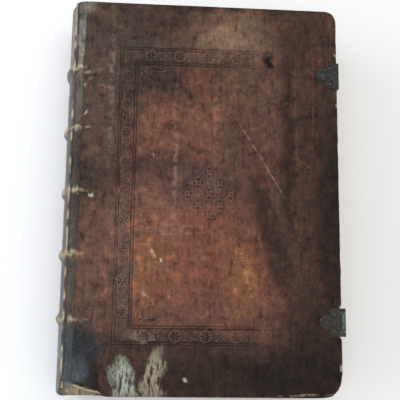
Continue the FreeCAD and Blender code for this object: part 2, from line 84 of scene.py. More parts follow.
joint_places = {joint["name"]: np.array(joint["pos_m"]) * 1000 for joint in frame["joints"]}
joint_x, _, front_joint_z = joint_places["front_cover_opening"]
cover_low, cover_high = corners_mm("front_cover_leather")
board_low = corners_mm("front_board")[0]
book_thick = cover_high[2]
mid_z = book_thick / 2
near_x, far_x = cover_low[0], cover_high[0]
half_y = cover_high[1]
centre_x = (near_x + far_x) / 2
bevel_width = 5.7
crease_x = joint_x + bevel_width
joint_drop = book_thick - front_joint_z
print("cover", near_x, far_x, half_y, "thick", book_thick, "joint", joint_x)

# %% [markdown]
# ## Camera
# The photo was taken by hand from about 0.64 m above the cover, leaning a little towards the tail and
# the back. The angles and the lens come from the four edges of the cover.

# %% Camera
camera_data = bpy.data.cameras.new("camera")
camera_data.lens = 65.7
camera_data.sensor_width = 36.0
camera = bpy.data.objects.new("camera", camera_data)
camera.location = (-0.0435, -0.1096, 0.6401)
camera.rotation_mode = "ZYX"
camera.rotation_euler = [math.radians(angle) for angle in (10.113, -3.942, 1.439)]
scene.collection.objects.link(camera)
scene.camera = camera
scene.view_settings.view_transform = "Standard"

# %% [markdown]
# ## Helpers for meshes and materials
# A mesh is written from millimetre points. A material is a chain of small nodes, so one function adds
# a node with its settings and its links. Colours are the hex values that a painter's chart would give.

# %% Meshes
def add_mesh(name, points, faces, body=None, material=None):
    mesh = bpy.data.meshes.new(name)
    mesh.from_pydata((np.asarray(points, float) / 1000).tolist(), [], faces)
    mesh.update()
    mesh.shade_smooth()
    made = bpy.data.objects.new(name, mesh)
    scene.collection.objects.link(made)
    if material:
        mesh.materials.append(material)
    if body:
        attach(made, body)
    return made


def keep_values(thing, name, values):
    """Stores one number per vertex for the material to read."""
    layer = thing.data.attributes.new(name, "FLOAT", "POINT")
    layer.data.foreach_set("value", np.asarray(values, np.float32).ravel())


def lumps(x, y, size, seed):
    """Smooth random heights from about -1 to 1, in lumps of that size."""
    flat = [noise.noise(Vector((a / size, b / size, seed))) for a, b in zip(np.ravel(x), np.ravel(y))]
    return np.array(flat).reshape(np.shape(x))


def strip_faces(rows, columns, closed=False):
    """Quads between the rows of a grid of points; closed joins the last column to the first."""
    last = columns if closed else columns - 1
    return [(r * columns + c, r * columns + (c + 1) % columns,
             (r + 1) * columns + (c + 1) % columns, (r + 1) * columns + c)
            for r in range(rows - 1) for c in range(last)]


def tube_faces(rows, columns, turned_ends=False):
    """Closed loops of points joined in a tube, with a face on each end.

    With turned_ends the two end faces, and only they, run the other way round.
    """
    first, last = range(columns), range((rows - 1) * columns, rows * columns)
    ends = [tuple(first), tuple(reversed(last))] if turned_ends else [tuple(reversed(first)), tuple(last)]
    return strip_faces(rows, columns, closed=True) + ends


# %% Materials
def colour(code):
    """An sRGB hex colour as linear red, green, blue and alpha."""
    parts = [int(code[i:i + 2], 16) / 255 for i in (1, 3, 5)]
    return tuple(p / 12.92 if p <= 0.04045 else ((p + 0.055) / 1.055) ** 2.4 for p in parts) + (1.0,)


def node(tree, kind, settings=None, inputs=None):
    """Adds a node. An input takes a value, a node (its first output) or an output."""
    made = tree.nodes.new(kind)
    for key, value in (settings or {}).items():
        setattr(made, key, value)
    for key, value in (inputs or {}).items():
        socket = made.inputs[key]
        if isinstance(value, bpy.types.Node):
            value = value.outputs[0]
        if isinstance(value, bpy.types.NodeSocket):
            tree.links.new(value, socket)
        else:
            socket.default_value = value
    return made


def new_material(name):
    """A material with its Principled node, and the place of each point in millimetres."""
    made = bpy.data.materials.new(name)
    made.use_nodes = True
    tree = made.node_tree
    surface = tree.nodes["Principled BSDF"]
    coords = node(tree, "ShaderNodeTexCoord")
    place = node(tree, "ShaderNodeVectorMath", {"operation": "SCALE"},
                 {0: coords.outputs["Object"], "Scale": 1000.0})
    return made, tree, surface, place


def grain(tree, place, size, detail=3.0, stretch=(1, 1, 1), roughness=0.55):
    """Noise from 0 to 1 whose lumps are about size mm across."""
    scaled = node(tree, "ShaderNodeVectorMath", {"operation": "MULTIPLY"},
                  {0: place, 1: tuple(1 / (size * s) for s in stretch)})
    return node(tree, "ShaderNodeTexNoise", None,
                {"Vector": scaled, "Scale": 1.0, "Detail": detail, "Roughness": roughness})


def between(tree, value, low, high, to_low=0.0, to_high=1.0):
    """Turns value, from low to high, smoothly into to_low to to_high."""
    return node(tree, "ShaderNodeMapRange", {"interpolation_type": "SMOOTHSTEP"},
                {"Value": value, "From Min": low, "From Max": high, "To Min": to_low, "To Max": to_high})


def blended(tree, share, first, second, mode="MIX"):
    made = node(tree, "ShaderNodeMix", {"data_type": "RGBA", "blend_type": mode}, {0: share})
    for socket, value in ((made.inputs[6], first), (made.inputs[7], second)):
        if isinstance(value, str):
            socket.default_value = colour(value)
        else:
            result = value.outputs[2 if value.bl_idname == "ShaderNodeMix" else 0]
            tree.links.new(result, socket)
    return made


def spotted(tree, paint, spots, low, high, share, code, mode="MIX"):
    """Lays another colour over paint, from none where spots is low to share of it where high."""
    return blended(tree, between(tree, spots, low, high, 0, share), paint, code, mode)


def set_surface(tree, surface, paint, rough, bump_height=None, bump_mm=0.1, metal=0.0, gloss=0.5):
    tree.links.new(paint.outputs[2], surface.inputs["Base Color"])
    if isinstance(rough, (int, float)):
        surface.inputs["Roughness"].default_value = rough
    else:
        tree.links.new(rough.outputs[0], surface.inputs["Roughness"])
    surface.inputs["Metallic"].default_value = metal
    surface.inputs["Specular IOR Level"].default_value = gloss
    if bump_height:
        bump = node(tree, "ShaderNodeBump", None,
                    {"Strength": 1.0, "Distance": bump_mm / 1000, "Height": bump_height})
        tree.links.new(bump.outputs[0], surface.inputs["Normal"])


# %% [markdown]
# ## Old calf
# Calf of this age is a dull red-brown, paler where its glazed skin has rubbed away. Here it is nearly
# black along the edges, dark over the upper left, and redder and lighter over the lower middle. Each
# large stain is a soft ellipse with a wavering edge; two slate-blue patches at the lower left are
# painted reflection of the sky, laid on the same way. The long rubbed ridges and scratches are soft
# lines. Fine grain, pores and a net of cracks break it up. Tooled grooves are darkened as painted
# shade, and ornament and ridges are paler where rubbed and as painted highlight.

# %% Stains, painted reflection, shade and highlight, lines and grain of the calf
def soft_patch(tree, place, centre, half_size, turn=0.0, edge=0.6):
    """1 inside a soft ellipse and 0 outside."""
    inside = node(tree, "ShaderNodeMapping", {"vector_type": "TEXTURE"},
                  {"Vector": place, "Location": (*centre, 0), "Rotation": (0, 0, math.radians(turn)),
                   "Scale": (*half_size, 1e5)})
    reach = node(tree, "ShaderNodeVectorMath", {"operation": "LENGTH"}, {0: inside})
    return between(tree, reach.outputs["Value"], 1 + edge, 1 - edge)


def soft_line(tree, place, start, end, width):
    """1 on a thin spindle from start to end, fading to its sides and ends."""
    middle = ((start[0] + end[0]) / 2, (start[1] + end[1]) / 2)
    along = (end[0] - start[0], end[1] - start[1])
    return soft_patch(tree, place, middle, (math.hypot(*along) / 2 + width * 0.4, width * 0.75),
                      math.degrees(math.atan2(along[1], along[0])), 0.8)


def product(tree, first, second):
    return node(tree, "ShaderNodeMath", {"operation": "MULTIPLY"}, {0: first, 1: second})


# Stains, and two patches of painted reflection; each: colour, strength, centre, half size, turn in degrees.
front_stains_and_sheen = [
    # The darkest marks run along the edges and over the upper left, and redder, lighter ones over the lower
    # middle.
    ("#433a33", 0.9, (-68, 112), (42, 48), 0),
    ("#3b2d29", 0.9, (-38, 94), (24, 22), 0),
    ("#41312b", 0.85, (-22, 146), (50, 15), 0),
    ("#6d5747", 0.95, (24, 132), (36, 22), 0),
    ("#7b6552", 0.8, (17, 131), (15, 8), -8),
    ("#5f3d2f", 0.9, (-4, 94), (15, 9), 0),
    ("#5a4235", 0.85, (28, 82), (24, 28), 0),
    ("#412f27", 0.9, (86, 134), (30, 28), 0),
    ("#6f4b3c", 0.95, (-39, 54), (17, 25), 0),
    ("#54423a", 0.8, (-88, 62), (15, 56), 0),
    ("#6a4737", 0.75, (-2, 50), (18, 32), 0),
    ("#553b33", 0.8, (46, 36), (20, 40), 0),
    ("#3c2f2a", 0.95, (-38, 15), (40, 14), 0),
    ("#3a302b", 0.95, (-88, 4), (22, 17), 0),
    ("#7c5546", 0.95, (-38, -46), (46, 50), 0),
    ("#7a5138", 0.7, (-50, -62), (12, 34), 0),
    ("#714838", 0.95, (6, -58), (38, 50), 0),
    ("#6c4638", 0.9, (30, -76), (26, 34), 0),
    ("#7d5539", 0.75, (33, -70), (11, 24), 0),
    ("#5d4138", 0.7, (0, -96), (22, 16), 0),
    ("#55403c", 0.75, (-6, 4), (26, 18), 10),
    ("#5f463b", 0.85, (-88, -60), (15, 50), 0),
    ("#554a42", 0.8, (-64, -62), (8, 56), 0),
    ("#2f231d", 0.9, (54, -30), (9, 44), 14),
    ("#2e211b", 0.9, (70, 34), (6, 86), 0),
    ("#3f2c23", 0.85, (87, 20), (12, 120), 0),
    ("#231a16", 0.95, (106, -24), (13, 120), 0),
    ("#32251f", 0.9, (92, -108), (26, 34), 0),
    ("#2a201b", 0.95, (10, -147), (84, 24), 0),
    ("#211916", 0.95, (80, -146), (44, 25), 0),
    ("#3d2d28", 0.9, (-10, -121), (72, 9), 0),
    ("#211a17", 0.8, (0, 167), (120, 9), 0),
    # Painted reflection of the sky: these two slate-blue patches at the lower left are not stains.
    ("#2b3035", 0.95, (-94, -128), (15, 22), 0),
    ("#4c555a", 0.9, (-98, -146), (11, 14), 0),
    ("#1b1613", 0.8, (-82, -152), (7, 14), 10),
    ("#8b826f", 0.9, (-94, -160), (14, 5), -8),
    ("#6f685c", 0.9, (-101, 157), (9, 8), 0),
    ("#130f0d", 1.0, (54, 113.5), (5.5, 4), 0),
]
# Places where the skin is gone and the pale flesh side shows, ragged and streaked.
front_bare = [
    ("#9a9f90", 1.0, (-59, -151), (8, 16), 10),
    ("#8e8670", 1.0, (-38, -146), (7, 20), -10),
    ("#82796a", 0.8, (-47, -160), (18, 4), 0),
    ("#6d6353", 0.8, (-45, -114), (14, 3), -12),
]
# Each rubbed line or scratch: colour, strength, start, end, width.
front_lines = [
    ("#8a7264", 0.5, (-76.9, 136), (-76.9, 41), 2.6),
    ("#8a6c5c", 0.55, (-23.5, 78), (-23.5, -31), 2.2),
    ("#8a6650", 0.5, (10.3, 91), (10.3, 27), 3.6),
    ("#6a5040", 0.5, (90.6, 142), (90.3, 40), 0.9),
    ("#6a5040", 0.5, (75.6, 116), (76.4, 20), 0.8),
    ("#a08069", 0.7, (25.2, 64.1), (45, 33), 0.6),
    ("#957560", 0.7, (45, 33), (66.4, -2.9), 0.8),
    ("#80624e", 0.7, (75, 30.8), (91.6, 19.4), 0.6),
    ("#a87a54", 0.6, (31, -52), (38, -80), 1.6),
    ("#a87a54", 0.5, (42, -56), (29, -72), 1.0),
    ("#a87a54", 0.5, (27, -58), (43, -68), 0.8),
    ("#94705e", 0.5, (-50.8, -25.4), (-4, -28), 0.8),
    ("#94705e", 0.5, (-46.5, -35.8), (-8, -33), 0.7),
    ("#8a6a58", 0.4, (-44, -19.6), (-6, -18.6), 0.6),
    ("#8a6a58", 0.6, (-89, 88), (-73, 84), 0.5),
    ("#8a6a58", 0.6, (-86, 92), (-76, 74), 0.4),
    ("#c8beae", 1.0, (-91.5, -3.5), (-90.0, -5.0), 2.2),
    ("#c8b8a4", 0.9, (-41.9, 30.6), (-41.5, 28.8), 1.1),
    ("#b5957a", 0.9, (-42, -46), (-37, -56), 1.6),
    ("#c8b49c", 0.9, (-34.2, -54.6), (-33.4, -56.2), 1.9),
    ("#a98b74", 0.8, (-50, -80), (-44, -84), 1.8),
    ("#c8c8b8", 0.9, (-13.4, -147.4), (-11.6, -149.2), 1.6),
    ("#b8a890", 0.9, (-96, 66), (-98, 62), 1.2),
    ("#9d8a70", 0.8, (-100.5, 97), (-88, 101), 1.4),
    ("#141010", 0.9, (-99, 94), (-86, 97.4), 1.2),
    ("#b9a88c", 0.9, (-95, 93), (-101, 84), 1.0),
    ("#9d8a70", 0.7, (-101, 51), (-93, 52), 1.2),
    ("#9d8a70", 0.7, (-101, 0), (-94, -1), 1.2),
    ("#9d8a70", 0.7, (-101, -52), (-95, -51), 1.2),
    ("#a89880", 0.8, (-101, -103), (-92, -103), 1.6),
    ("#16110f", 0.9, (-101, -107), (-93, -108), 1.4),
    ("#17120f", 0.9, (-18, -109.8), (58, -108.6), 1.2),
    ("#17120f", 0.9, (-104, -149), (-80, -155), 1.6),
    ("#c9bda8", 0.9, (110.5, 121), (111, 118), 1.6),
    ("#c9bda8", 0.9, (111, 78), (111.6, 75), 1.5),
    ("#a99d88", 0.8, (111, 44), (111.6, 40), 1.2),
    ("#c9bda8", 0.9, (111, -90), (111.6, -93), 1.6),
    ("#c9bda8", 0.9, (110, -136), (110.6, -140), 1.6),
    ("#8f8067", 0.8, (60, -160), (104, -158), 1.0),
]
print("stains", len(front_stains_and_sheen), "lines", len(front_lines))


def calf(name, base, stains=(), lines=(), bare=(), gloss=0.1, worn=0.6, rubbed="#8d7260",
         polish=0.0):
    """Old calf. The vertex value 'raised' is above 0 on ornament and below 0 in grooves; below 0 the calf is
    darkened as painted shade, above 0 it is paler as wear and painted highlight.
    """
    made, tree, surface, place = new_material(name)
    waver = grain(tree, place, 16.0, 4.0)
    shift = node(tree, "ShaderNodeVectorMath", {"operation": "SUBTRACT"},
                 {0: waver.outputs["Color"], 1: (0.5, 0.5, 0.5)})
    push = node(tree, "ShaderNodeVectorMath", {"operation": "SCALE"}, {0: shift, "Scale": 22.0})
    wavering = node(tree, "ShaderNodeVectorMath", {"operation": "ADD"}, {0: place, 1: push})
    fine_push = node(tree, "ShaderNodeVectorMath", {"operation": "SCALE"}, {0: shift, "Scale": 3.0})
    nearly = node(tree, "ShaderNodeVectorMath", {"operation": "ADD"}, {0: place, 1: fine_push})
    paint = blended(tree, 1.0, base, base)
    for code, strength, centre, half_size, turn in stains:
        mask = soft_patch(tree, wavering, centre, half_size, turn)
        paint = blended(tree, product(tree, mask, strength), paint, code)
    streak = grain(tree, place, 3.4, 5.0, stretch=(1, 4.5, 1), roughness=0.65)
    mottle = grain(tree, place, 8.0, 5.0, roughness=0.65)
    blotch = grain(tree, place, 2.4, 5.0, roughness=0.72)
    # Lighter colours double what is there and darker ones halve it, so stains and painted reflections keep
    # their own tone.
    for spots, low, high, share, code, mode in [
            (streak, 0.5, 0.75, 0.55, "#ffe8d4", "OVERLAY"), (streak, 0.48, 0.3, 0.7, "#8a807c", "MULTIPLY"),
            (mottle, 0.5, 0.72, 0.7, "#fff0da", "OVERLAY"), (mottle, 0.5, 0.25, 0.7, "#7c7270", "MULTIPLY"),
            (blotch, 0.52, 0.76, worn, "#fff4e6", "OVERLAY"),
            (blotch, 0.48, 0.24, 0.65, "#6c6260", "MULTIPLY")]:
        paint = spotted(tree, paint, spots, low, high, share, code, mode)
    flecks = grain(tree, place, 1.1, 3.0)
    paint = spotted(tree, paint, flecks, 0.68, 0.8, 0.6, "#8f7867")
    ragged = between(tree, grain(tree, place, 3.2, 5.0, stretch=(1, 3.5, 1), roughness=0.75), 0.4, 0.54)
    for code, strength, centre, half_size, turn in bare:
        mask = soft_patch(tree, wavering, centre, half_size, turn, 0.35)
        paint = blended(tree, product(tree, product(tree, mask, ragged), strength), paint, code)
    break_up = between(tree, grain(tree, place, 4.0, 4.0), 0.38, 0.6)
    for code, strength, start, end, width in lines:
        mask = soft_line(tree, nearly, start, end, width)
        paint = blended(tree, product(tree, product(tree, mask, break_up), strength), paint, code)
    # Paler on ornament and ridges, as wear and painted highlight; the dark #1d1613 in grooves and hollows is
    # painted shade.
    raised = node(tree, "ShaderNodeAttribute", {"attribute_name": "raised"})
    paint = spotted(tree, paint, raised.outputs["Fac"], 0.05, 0.9, 0.75, rubbed)
    paint = spotted(tree, paint, raised.outputs["Fac"], -0.05, -0.8, 0.75, "#1d1613")
    cells = node(tree, "ShaderNodeTexVoronoi", {"feature": "DISTANCE_TO_EDGE"},
                 {"Vector": nearly, "Scale": 0.45})
    cracks = between(tree, cells.outputs["Distance"], 0.0, 0.06)
    crack_zone = between(tree, grain(tree, place, 26.0, 2.0), 0.5, 0.62, 1, 0)
    crack_mask = node(tree, "ShaderNodeMath", {"operation": "MAXIMUM"}, {0: cracks, 1: crack_zone})
    paint = spotted(tree, paint, crack_mask, 1, 0, 0.5, "#1b1512")
    skin = grain(tree, place, 0.9, 5.0, roughness=0.7)
    height = node(tree, "ShaderNodeMath", {"operation": "ADD"},
                  {0: skin, 1: product(tree, crack_mask, 0.6)})
    height = node(tree, "ShaderNodeMath", {"operation": "ADD"}, {0: height, 1: blotch})
    rough = between(tree, blotch, 0.2, 0.8, 0.62, 0.42)
    set_surface(tree, surface, paint, rough, height, 0.22, gloss=gloss)
    surface.inputs["Coat Weight"].default_value = polish
    surface.inputs["Coat Roughness"].default_value = 0.35
    return made


def patch_reach(listed_patch):
    half = 1.6 * max(listed_patch[3]) + 12
    return listed_patch[2][1] - half, listed_patch[2][1] + half


def line_reach(line):
    ends = (line[2][1], line[3][1])
    return min(ends) - 6, max(ends) + 6


def reaching(marks, reach, low, high):
    """The marks that meet the part of the book from low to high."""
    return [mark for mark in marks if reach(mark)[0] < high and reach(mark)[1] > low]


# The marks are split in two, so the head half and the tail half have one material each.
head_part, tail_part = [
    calf("calf_front_" + part, "#523c32", reaching(front_stains_and_sheen, patch_reach, low, high),
         reaching(front_lines, line_reach, low, high), reaching(front_bare, patch_reach, low, high))
    for part, low, high in (("head", 0, 200), ("tail", -200, 0))]


def paint_front(mesh):
    """The head half of a front piece takes one calf and the tail half the other."""
    mesh.materials.clear()
    mesh.materials.append(head_part)
    mesh.materials.append(tail_part)
    for face in mesh.polygons:
        face.material_index = 0 if face.center.y > 0 else 1


plain_calf = calf("calf_back", "#4e372f")
print("calf nodes", len(head_part.node_tree.nodes), len(tail_part.node_tree.nodes))

# %% [markdown]
# ## Leather of the covers
# A flat sheet of leather over a board is not flat: it follows the warp of the wood, rises over the
# ends of the cords beside the joint, and sinks where the hot tools ran. So its face is a grid of
# heights. The grid is a rectangle whose corners are eased onto round ones, and loops of points carry
# it over the edge, down the side and inwards over the board's inner face.

# %% Heights of a cover's face
edge_round = 2.4
corner_radius = 10.2
band_ys = [(i - 2) * 51.2 for i in range(5)]
frame_half = np.array([73.5, 122.0])
band_width = 14.5
groove_insets = (0.45, 2.45, band_width - 1.55, band_width + 0.45)
lower_clasp_y = joint_places["clasp_swing"][1]


def frame_distance(x, y, inset):
    """Distance in mm from a rectangle that lies inset inside the tooled frame."""
    dx = np.abs(x - centre_x) - (frame_half[0] - inset)
    dy = np.abs(y) - (frame_half[1] - inset)
    inside = np.minimum(np.maximum(dx, dy), 0)
    return np.abs(np.hypot(np.maximum(dx, 0), np.maximum(dy, 0)) + inside)


def wear(x, y):
    """How deep the tooling still is: least along the right side, most at the left, ends and centre."""
    left = np.clip((80 - x) / 110, 0.22, 1)
    kept = left * np.clip(0.8 + 0.45 * lumps(x, y, 22, 3.0), 0.45, 1)
    centre = 0.7 * np.exp(-((x - centre_x) ** 2 + y ** 2) / 900)
    ends = 0.45 * np.clip((np.abs(y) - 96) / 10, 0, 1) * np.clip((64 - x) / 30, 0, 1)
    return np.clip(kept + centre + ends, 0, 1)


def grooves(x, y):
    return sum(np.clip(1 - frame_distance(x, y, inset) / 0.75, 0, 1) for inset in groove_insets)


def face_height(x, y):
    """Height over the flat face: warp, dents, cord ends, tooled band and its lines."""
    rise = 0.22 * lumps(x, y, 60, 1.0) + 0.12 * lumps(x, y, 18, 2.0) + 0.05 * lumps(x, y, 5, 5.0)
    for y0 in band_ys:
        fade = np.clip((crease_x + 14 - x) / 14, 0, 1)
        rise += 0.7 * fade * np.exp(-((y - y0) / 3.4) ** 2)
    in_band = (frame_distance(x, y, band_width / 2) < band_width / 2 - 1.2)
    rise -= 0.12 * in_band
    return np.minimum(rise - 0.35 * wear(x, y) * grooves(x, y), 0.55)


def bevel_drop(x):
    """The face slopes down to the joint."""
    return joint_drop * np.clip((crease_x - x) / (crease_x - joint_x), 0, 1)


# %% The shell of one cover
def marked_steps(low, high, step, marks):
    """Even steps, with three lines at each mark."""
    even = np.linspace(low, high, int((high - low) / step) + 1)
    lines = np.concatenate([np.array(marks) + d for d in (-0.7, 0, 0.7)])
    even = [v for v in even if np.min(np.abs(lines - v)) > 0.4]
    return np.unique(np.round(np.concatenate([even, lines]), 4))


def eased(x, y, corner=corner_radius):
    """Moves a point of the square-cornered rectangle onto the round-cornered one."""
    u = np.clip((x - (far_x - corner)) / corner, 0, 1)
    v = np.clip((np.abs(y) - (half_y - corner)) / corner, 0, 1)
    new_u = u * np.sqrt(1 - v * v / 2)
    new_v = v * np.sqrt(1 - u * u / 2)
    return x + (new_u - u) * corner, y + np.sign(y) * (new_v - v) * corner


def worn_outline(x, y):
    """Front cover only: the lost corner at the tail, the torn tail edge and the clasp's recess."""
    near_corner = np.clip((x - far_x + 26) / 26, 0, 1) * np.clip((-y - half_y + 30) / 30, 0, 1)
    x = x - 5.0 * near_corner ** 3
    y = y + 3.4 * near_corner ** 3
    tear = np.clip(1 - (x - near_x) / 34, 0, 1) ** 0.6 * (2.4 + 1.2 * lumps(x, x * 0, 4.0, 9.0))
    y = y + tear * np.clip((-y - half_y + 9) / 9, 0, 1)
    ragged = 0.25 * lumps(x, y, 3.0, 6.0) + 0.3 * lumps(x, y, 11.0, 7.0)
    recess = np.clip((12.8 - np.abs(y - lower_clasp_y)) / 0.6, 0, 1) * np.clip((x - far_x + 7) / 7, 0, 1)
    return x - 1.6 * recess + ragged * np.clip((x - far_x + 12) / 12, 0, 1), y


def cover_shell(name, front, body, replaced, material):
    groove_x = [centre_x + side * (frame_half[0] - inset) for side in (-1, 1) for inset in groove_insets]
    groove_y = [side * (frame_half[1] - inset) for side in (-1, 1) for inset in groove_insets]
    xs = marked_steps(near_x, far_x - edge_round, 1.25, groove_x + [crease_x])
    ys = marked_steps(-half_y + edge_round, half_y - edge_round, 1.25, groove_y)
    grid_x, grid_y = np.meshgrid(xs, ys)

    def placed(x, y):
        x, y = eased(x, y)
        return worn_outline(x, y) if front else (x, y)

    px, py = placed(grid_x, grid_y)
    height = face_height(px, py)
    # Below 0 in the tooled grooves, which are darkened as painted shade; above 0 on the cord ridges beside
    # the joint, paler as wear and painted highlight.
    raised = -wear(px, py) * np.clip(grooves(px, py), 0, 1)
    for y0 in band_ys:
        raised += (np.clip((crease_x + 9 - px) / 7, 0, 1) * np.exp(-((py - y0) / 1.5) ** 2)
                   * np.clip(0.5 + lumps(px, py, 4, 8.0), 0, 1))
    if not front:
        for plate in ("lower_catch_plate", "upper_catch_plate"):
            plate_low, plate_high = corners_mm(plate)
            x_in = np.clip((px - plate_low[0] + 1) / 1.0, 0, 1)
            from_middle = np.abs(py - plate_low[1] / 2 - plate_high[1] / 2)
            y_in = np.clip((plate_high[1] - plate_low[1]) / 2 + 1 - from_middle, 0, 1)
            height = height - 1.3 * x_in * y_in
        height = np.minimum(height, 0)
    else:
        for plate in ("upper_hinge_plate", "lower_hinge_plate"):
            plate_low, plate_high = corners_mm(plate)
            under = np.clip((px - plate_low[0] + 3) / 3, 0, 1) * np.clip(
                (14 - np.abs(py - (plate_low[1] + plate_high[1]) / 2)) / 3, 0, 1)
            height = height * (1 - under) - 0.05 * under
    pz = book_thick - bevel_drop(px) + height
    rows, columns = grid_x.shape
    points = [np.stack([px, py, pz], -1).reshape(-1, 3)]
    rim = ([(0, c) for c in range(columns)] + [(r, columns - 1) for r in range(1, rows)]
           + [(rows - 1, c) for c in range(columns - 2, -1, -1)] + [(r, 0) for r in range(rows - 2, 0, -1)])
    rim_x = np.array([grid_x[r, c] for r, c in rim])
    rim_y = np.array([grid_y[r, c] for r, c in rim])
    rim_z = np.array([pz[r, c] for r, c in rim])
    inner_z = board_low[2]
    turn_low = cover_low[2]
    # Each loop: inset from the outline, inset at the joint, level (None: drop below the face).
    loops = [(1.48, 0, None, 0.18), (0.7, 0, None, 0.7), (0.18, 0, None, 1.48), (0, 0, None, 2.4),
             (0, 0, inner_z + 3, 0), (0, 0, turn_low + 0.7, 0), (0.2, 0, turn_low + 0.2, 0),
             (0.7, 0.2, turn_low, 0), (18.9, 0.5, turn_low, 0), (19.1, 0.9, turn_low + 0.5, 0),
             (21, 2, inner_z + 2.5, 0)]
    faces = strip_faces(rows, columns)
    previous = [r * columns + c for r, c in rim]
    start = rows * columns
    for inset, joint_inset, level, drop in loops:
        scale_x = (far_x - inset - near_x - joint_inset) / (far_x - edge_round - near_x)
        x = near_x + joint_inset + (rim_x - near_x) * scale_x
        y = rim_y * (half_y - inset) / (half_y - edge_round)
        x, y = placed(x, y)
        z = rim_z - drop if level is None else np.full(len(rim), level)
        points.append(np.stack([x, y, z], -1))
        loop = list(range(start, start + len(rim)))
        count = len(rim)
        faces += [(previous[(i + 1) % count], previous[i], loop[i], loop[(i + 1) % count])
                  for i in range(count)]
        previous = loop
        start += count
    faces.append(tuple(reversed(previous)))
    points = np.concatenate(points)
    if not front:
        points[:, 2] = book_thick - points[:, 2]
        faces = [tuple(reversed(face)) for face in faces]
    made = add_mesh(name, points, faces, body, material)
    keep_values(made, "raised", np.concatenate([raised.ravel(), np.zeros(len(points) - raised.size)]))
    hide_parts(replaced)
    print(name, "points", len(points), "faces", len(faces))
    return made


front_skin = cover_shell("front_cover_calf", True, "front_cover", "front_cover_leather", head_part)
paint_front(front_skin.data)
cover_shell("back_cover_calf", False, "back_cover", "back_cover_leather", plain_calf)

# %% [markdown]
# ## Blind tooling
# A frame was rolled with a hot brass wheel: a rosette every 24 mm and a leafy scroll between. Single
# stamps make the sprays in the corners and the lozenge in the middle. Each stamp is a small patch of
# leather whose heights come from a formula, because an impression cut into the cover's own grid would
# need a far finer grid everywhere. Points say which stamp goes where and how it is turned, and a node
# tree sets the patches on the points and rubs some of them down. The back cover has the lines alone.

# %% Shapes of the stamps
def ridge(distance, width):
    return np.exp(-(distance / width) ** 2)


def rosette(x, y):
    r, turn = np.hypot(x, y), np.arctan2(y, x)
    petals = ridge(r - 2.5, 0.75) * (0.5 + 0.5 * np.cos(6 * turn))
    return np.maximum.reduce([ridge(r - 4.4, 0.5), petals, ridge(r, 0.8)])


def scroll(x, y):
    stem = ridge(x - 2.6 * np.sin(y * math.pi / 7), 0.5)
    leaves = [ridge(np.hypot((x - s * 2.9) / 0.9, (y + s * 3.6) / 1.5), 1.0) for s in (-1, 1)]
    buds = [ridge(np.hypot(x + s * 3.4, y + s * 0.8), 0.8) for s in (-1, 1)]
    return np.maximum.reduce([stem] + leaves + buds)


def quatrefoil(x, y):
    r, turn = np.hypot(x, y), np.arctan2(y, x)
    petals = ridge(r - 3.9 - 1.2 * np.cos(4 * turn), 0.5)
    return np.maximum.reduce([petals, ridge(r - 1.7, 0.45), ridge(r, 0.6)])


def spray_leaf(x, y):
    side = 1.9 * np.sin(np.clip((x + 8.5) / 17, 0, 1) * math.pi) ** 0.8
    return np.maximum(ridge(np.abs(y) - side, 0.42), 0.7 * ridge(y, 0.35)) * (np.abs(x) < 8.4)


def stamp(name, reach_x, reach_y, shape, relief=0.34, sunk=0.3, step=0.48):
    """A closed patch of leather: its face carries the ornament, its rim dips under the cover."""
    xs = np.linspace(-reach_x, reach_x, int(2 * reach_x / step) + 1)
    ys = np.linspace(-reach_y, reach_y, int(2 * reach_y / step) + 1)
    x, y = np.meshgrid(xs, ys)
    level = shape(x, y)
    around = level.copy()
    rows, columns = level.shape
    for _ in range(3):
        wide = np.pad(around, 1, "edge")
        around = sum(wide[i:i + rows, j:j + columns] for i in range(3) for j in range(3)) / 9
    near = np.clip(around * 3.5, 0, 1)
    z = relief * level + 0.13 * near - sunk * (1 - near)
    z[0], z[-1], z[:, 0], z[:, -1] = -0.5, -0.5, -0.5, -0.5
    faces = strip_faces(rows, columns)
    rim = (list(range(columns)) + [r * columns + columns - 1 for r in range(1, rows)]
           + [(rows - 1) * columns + c for c in range(columns - 2, -1, -1)]
           + [r * columns for r in range(rows - 2, 0, -1)])
    faces.append(tuple(reversed(rim)))
    made = add_mesh(name, np.stack([x, y, z], -1).reshape(-1, 3), faces)
    # Below 0 in the hollow round the ornament, darkened as painted shade; above 0 on the ornament, paler as
    # wear and painted highlight.
    keep_values(made, "raised", level * 0.85 - 0.85 * near * (1 - level))
    return made


stamps = bpy.data.collections.new("stamps")
for index, (kind_name, reach_x, reach_y, shape) in enumerate([
        ("rosette", 5.6, 5.6, rosette), ("scroll", 5.2, 6.8, scroll),
        ("quatrefoil", 5.8, 5.8, quatrefoil), ("leaf", 8.8, 2.6, spray_leaf)]):
    patch = stamp("stamp_%d_%s" % (index, kind_name), reach_x, reach_y, shape)
    scene.collection.objects.unlink(patch)
    stamps.objects.link(patch)
ROSETTE, SCROLL, QUATREFOIL, LEAF = range(4)

# %% Where the stamps go
roll_pitch = 24.0
lozenge_pitch = 12.4
row_x, row_y = frame_half - band_width / 2
places = []
for side in (-1, 1):
    for i in range(-4, 5):
        places.append((ROSETTE, centre_x + side * row_x, i * roll_pitch, 0))
    for i in range(-4, 4):
        places.append((SCROLL, centre_x + side * row_x, (i + 0.5) * roll_pitch, 0))
    for i in range(-2, 3):
        places.append((ROSETTE, centre_x + i * roll_pitch, side * row_y, 30))
    for i in range(-2, 2):
        places.append((SCROLL, centre_x + (i + 0.5) * roll_pitch, side * row_y, 90))
for sx in (-1, 1):
    for sy in (-1, 1):
        for turn in (7, 45, 83):
            angle = math.atan2(-sy * math.sin(math.radians(turn)), -sx * math.cos(math.radians(turn)))
            reach = 12.5
            places.append((LEAF, centre_x + sx * (row_x - 10.5) + reach * math.cos(angle),
                           sy * (row_y - 10.5) + reach * math.sin(angle), math.degrees(angle)))
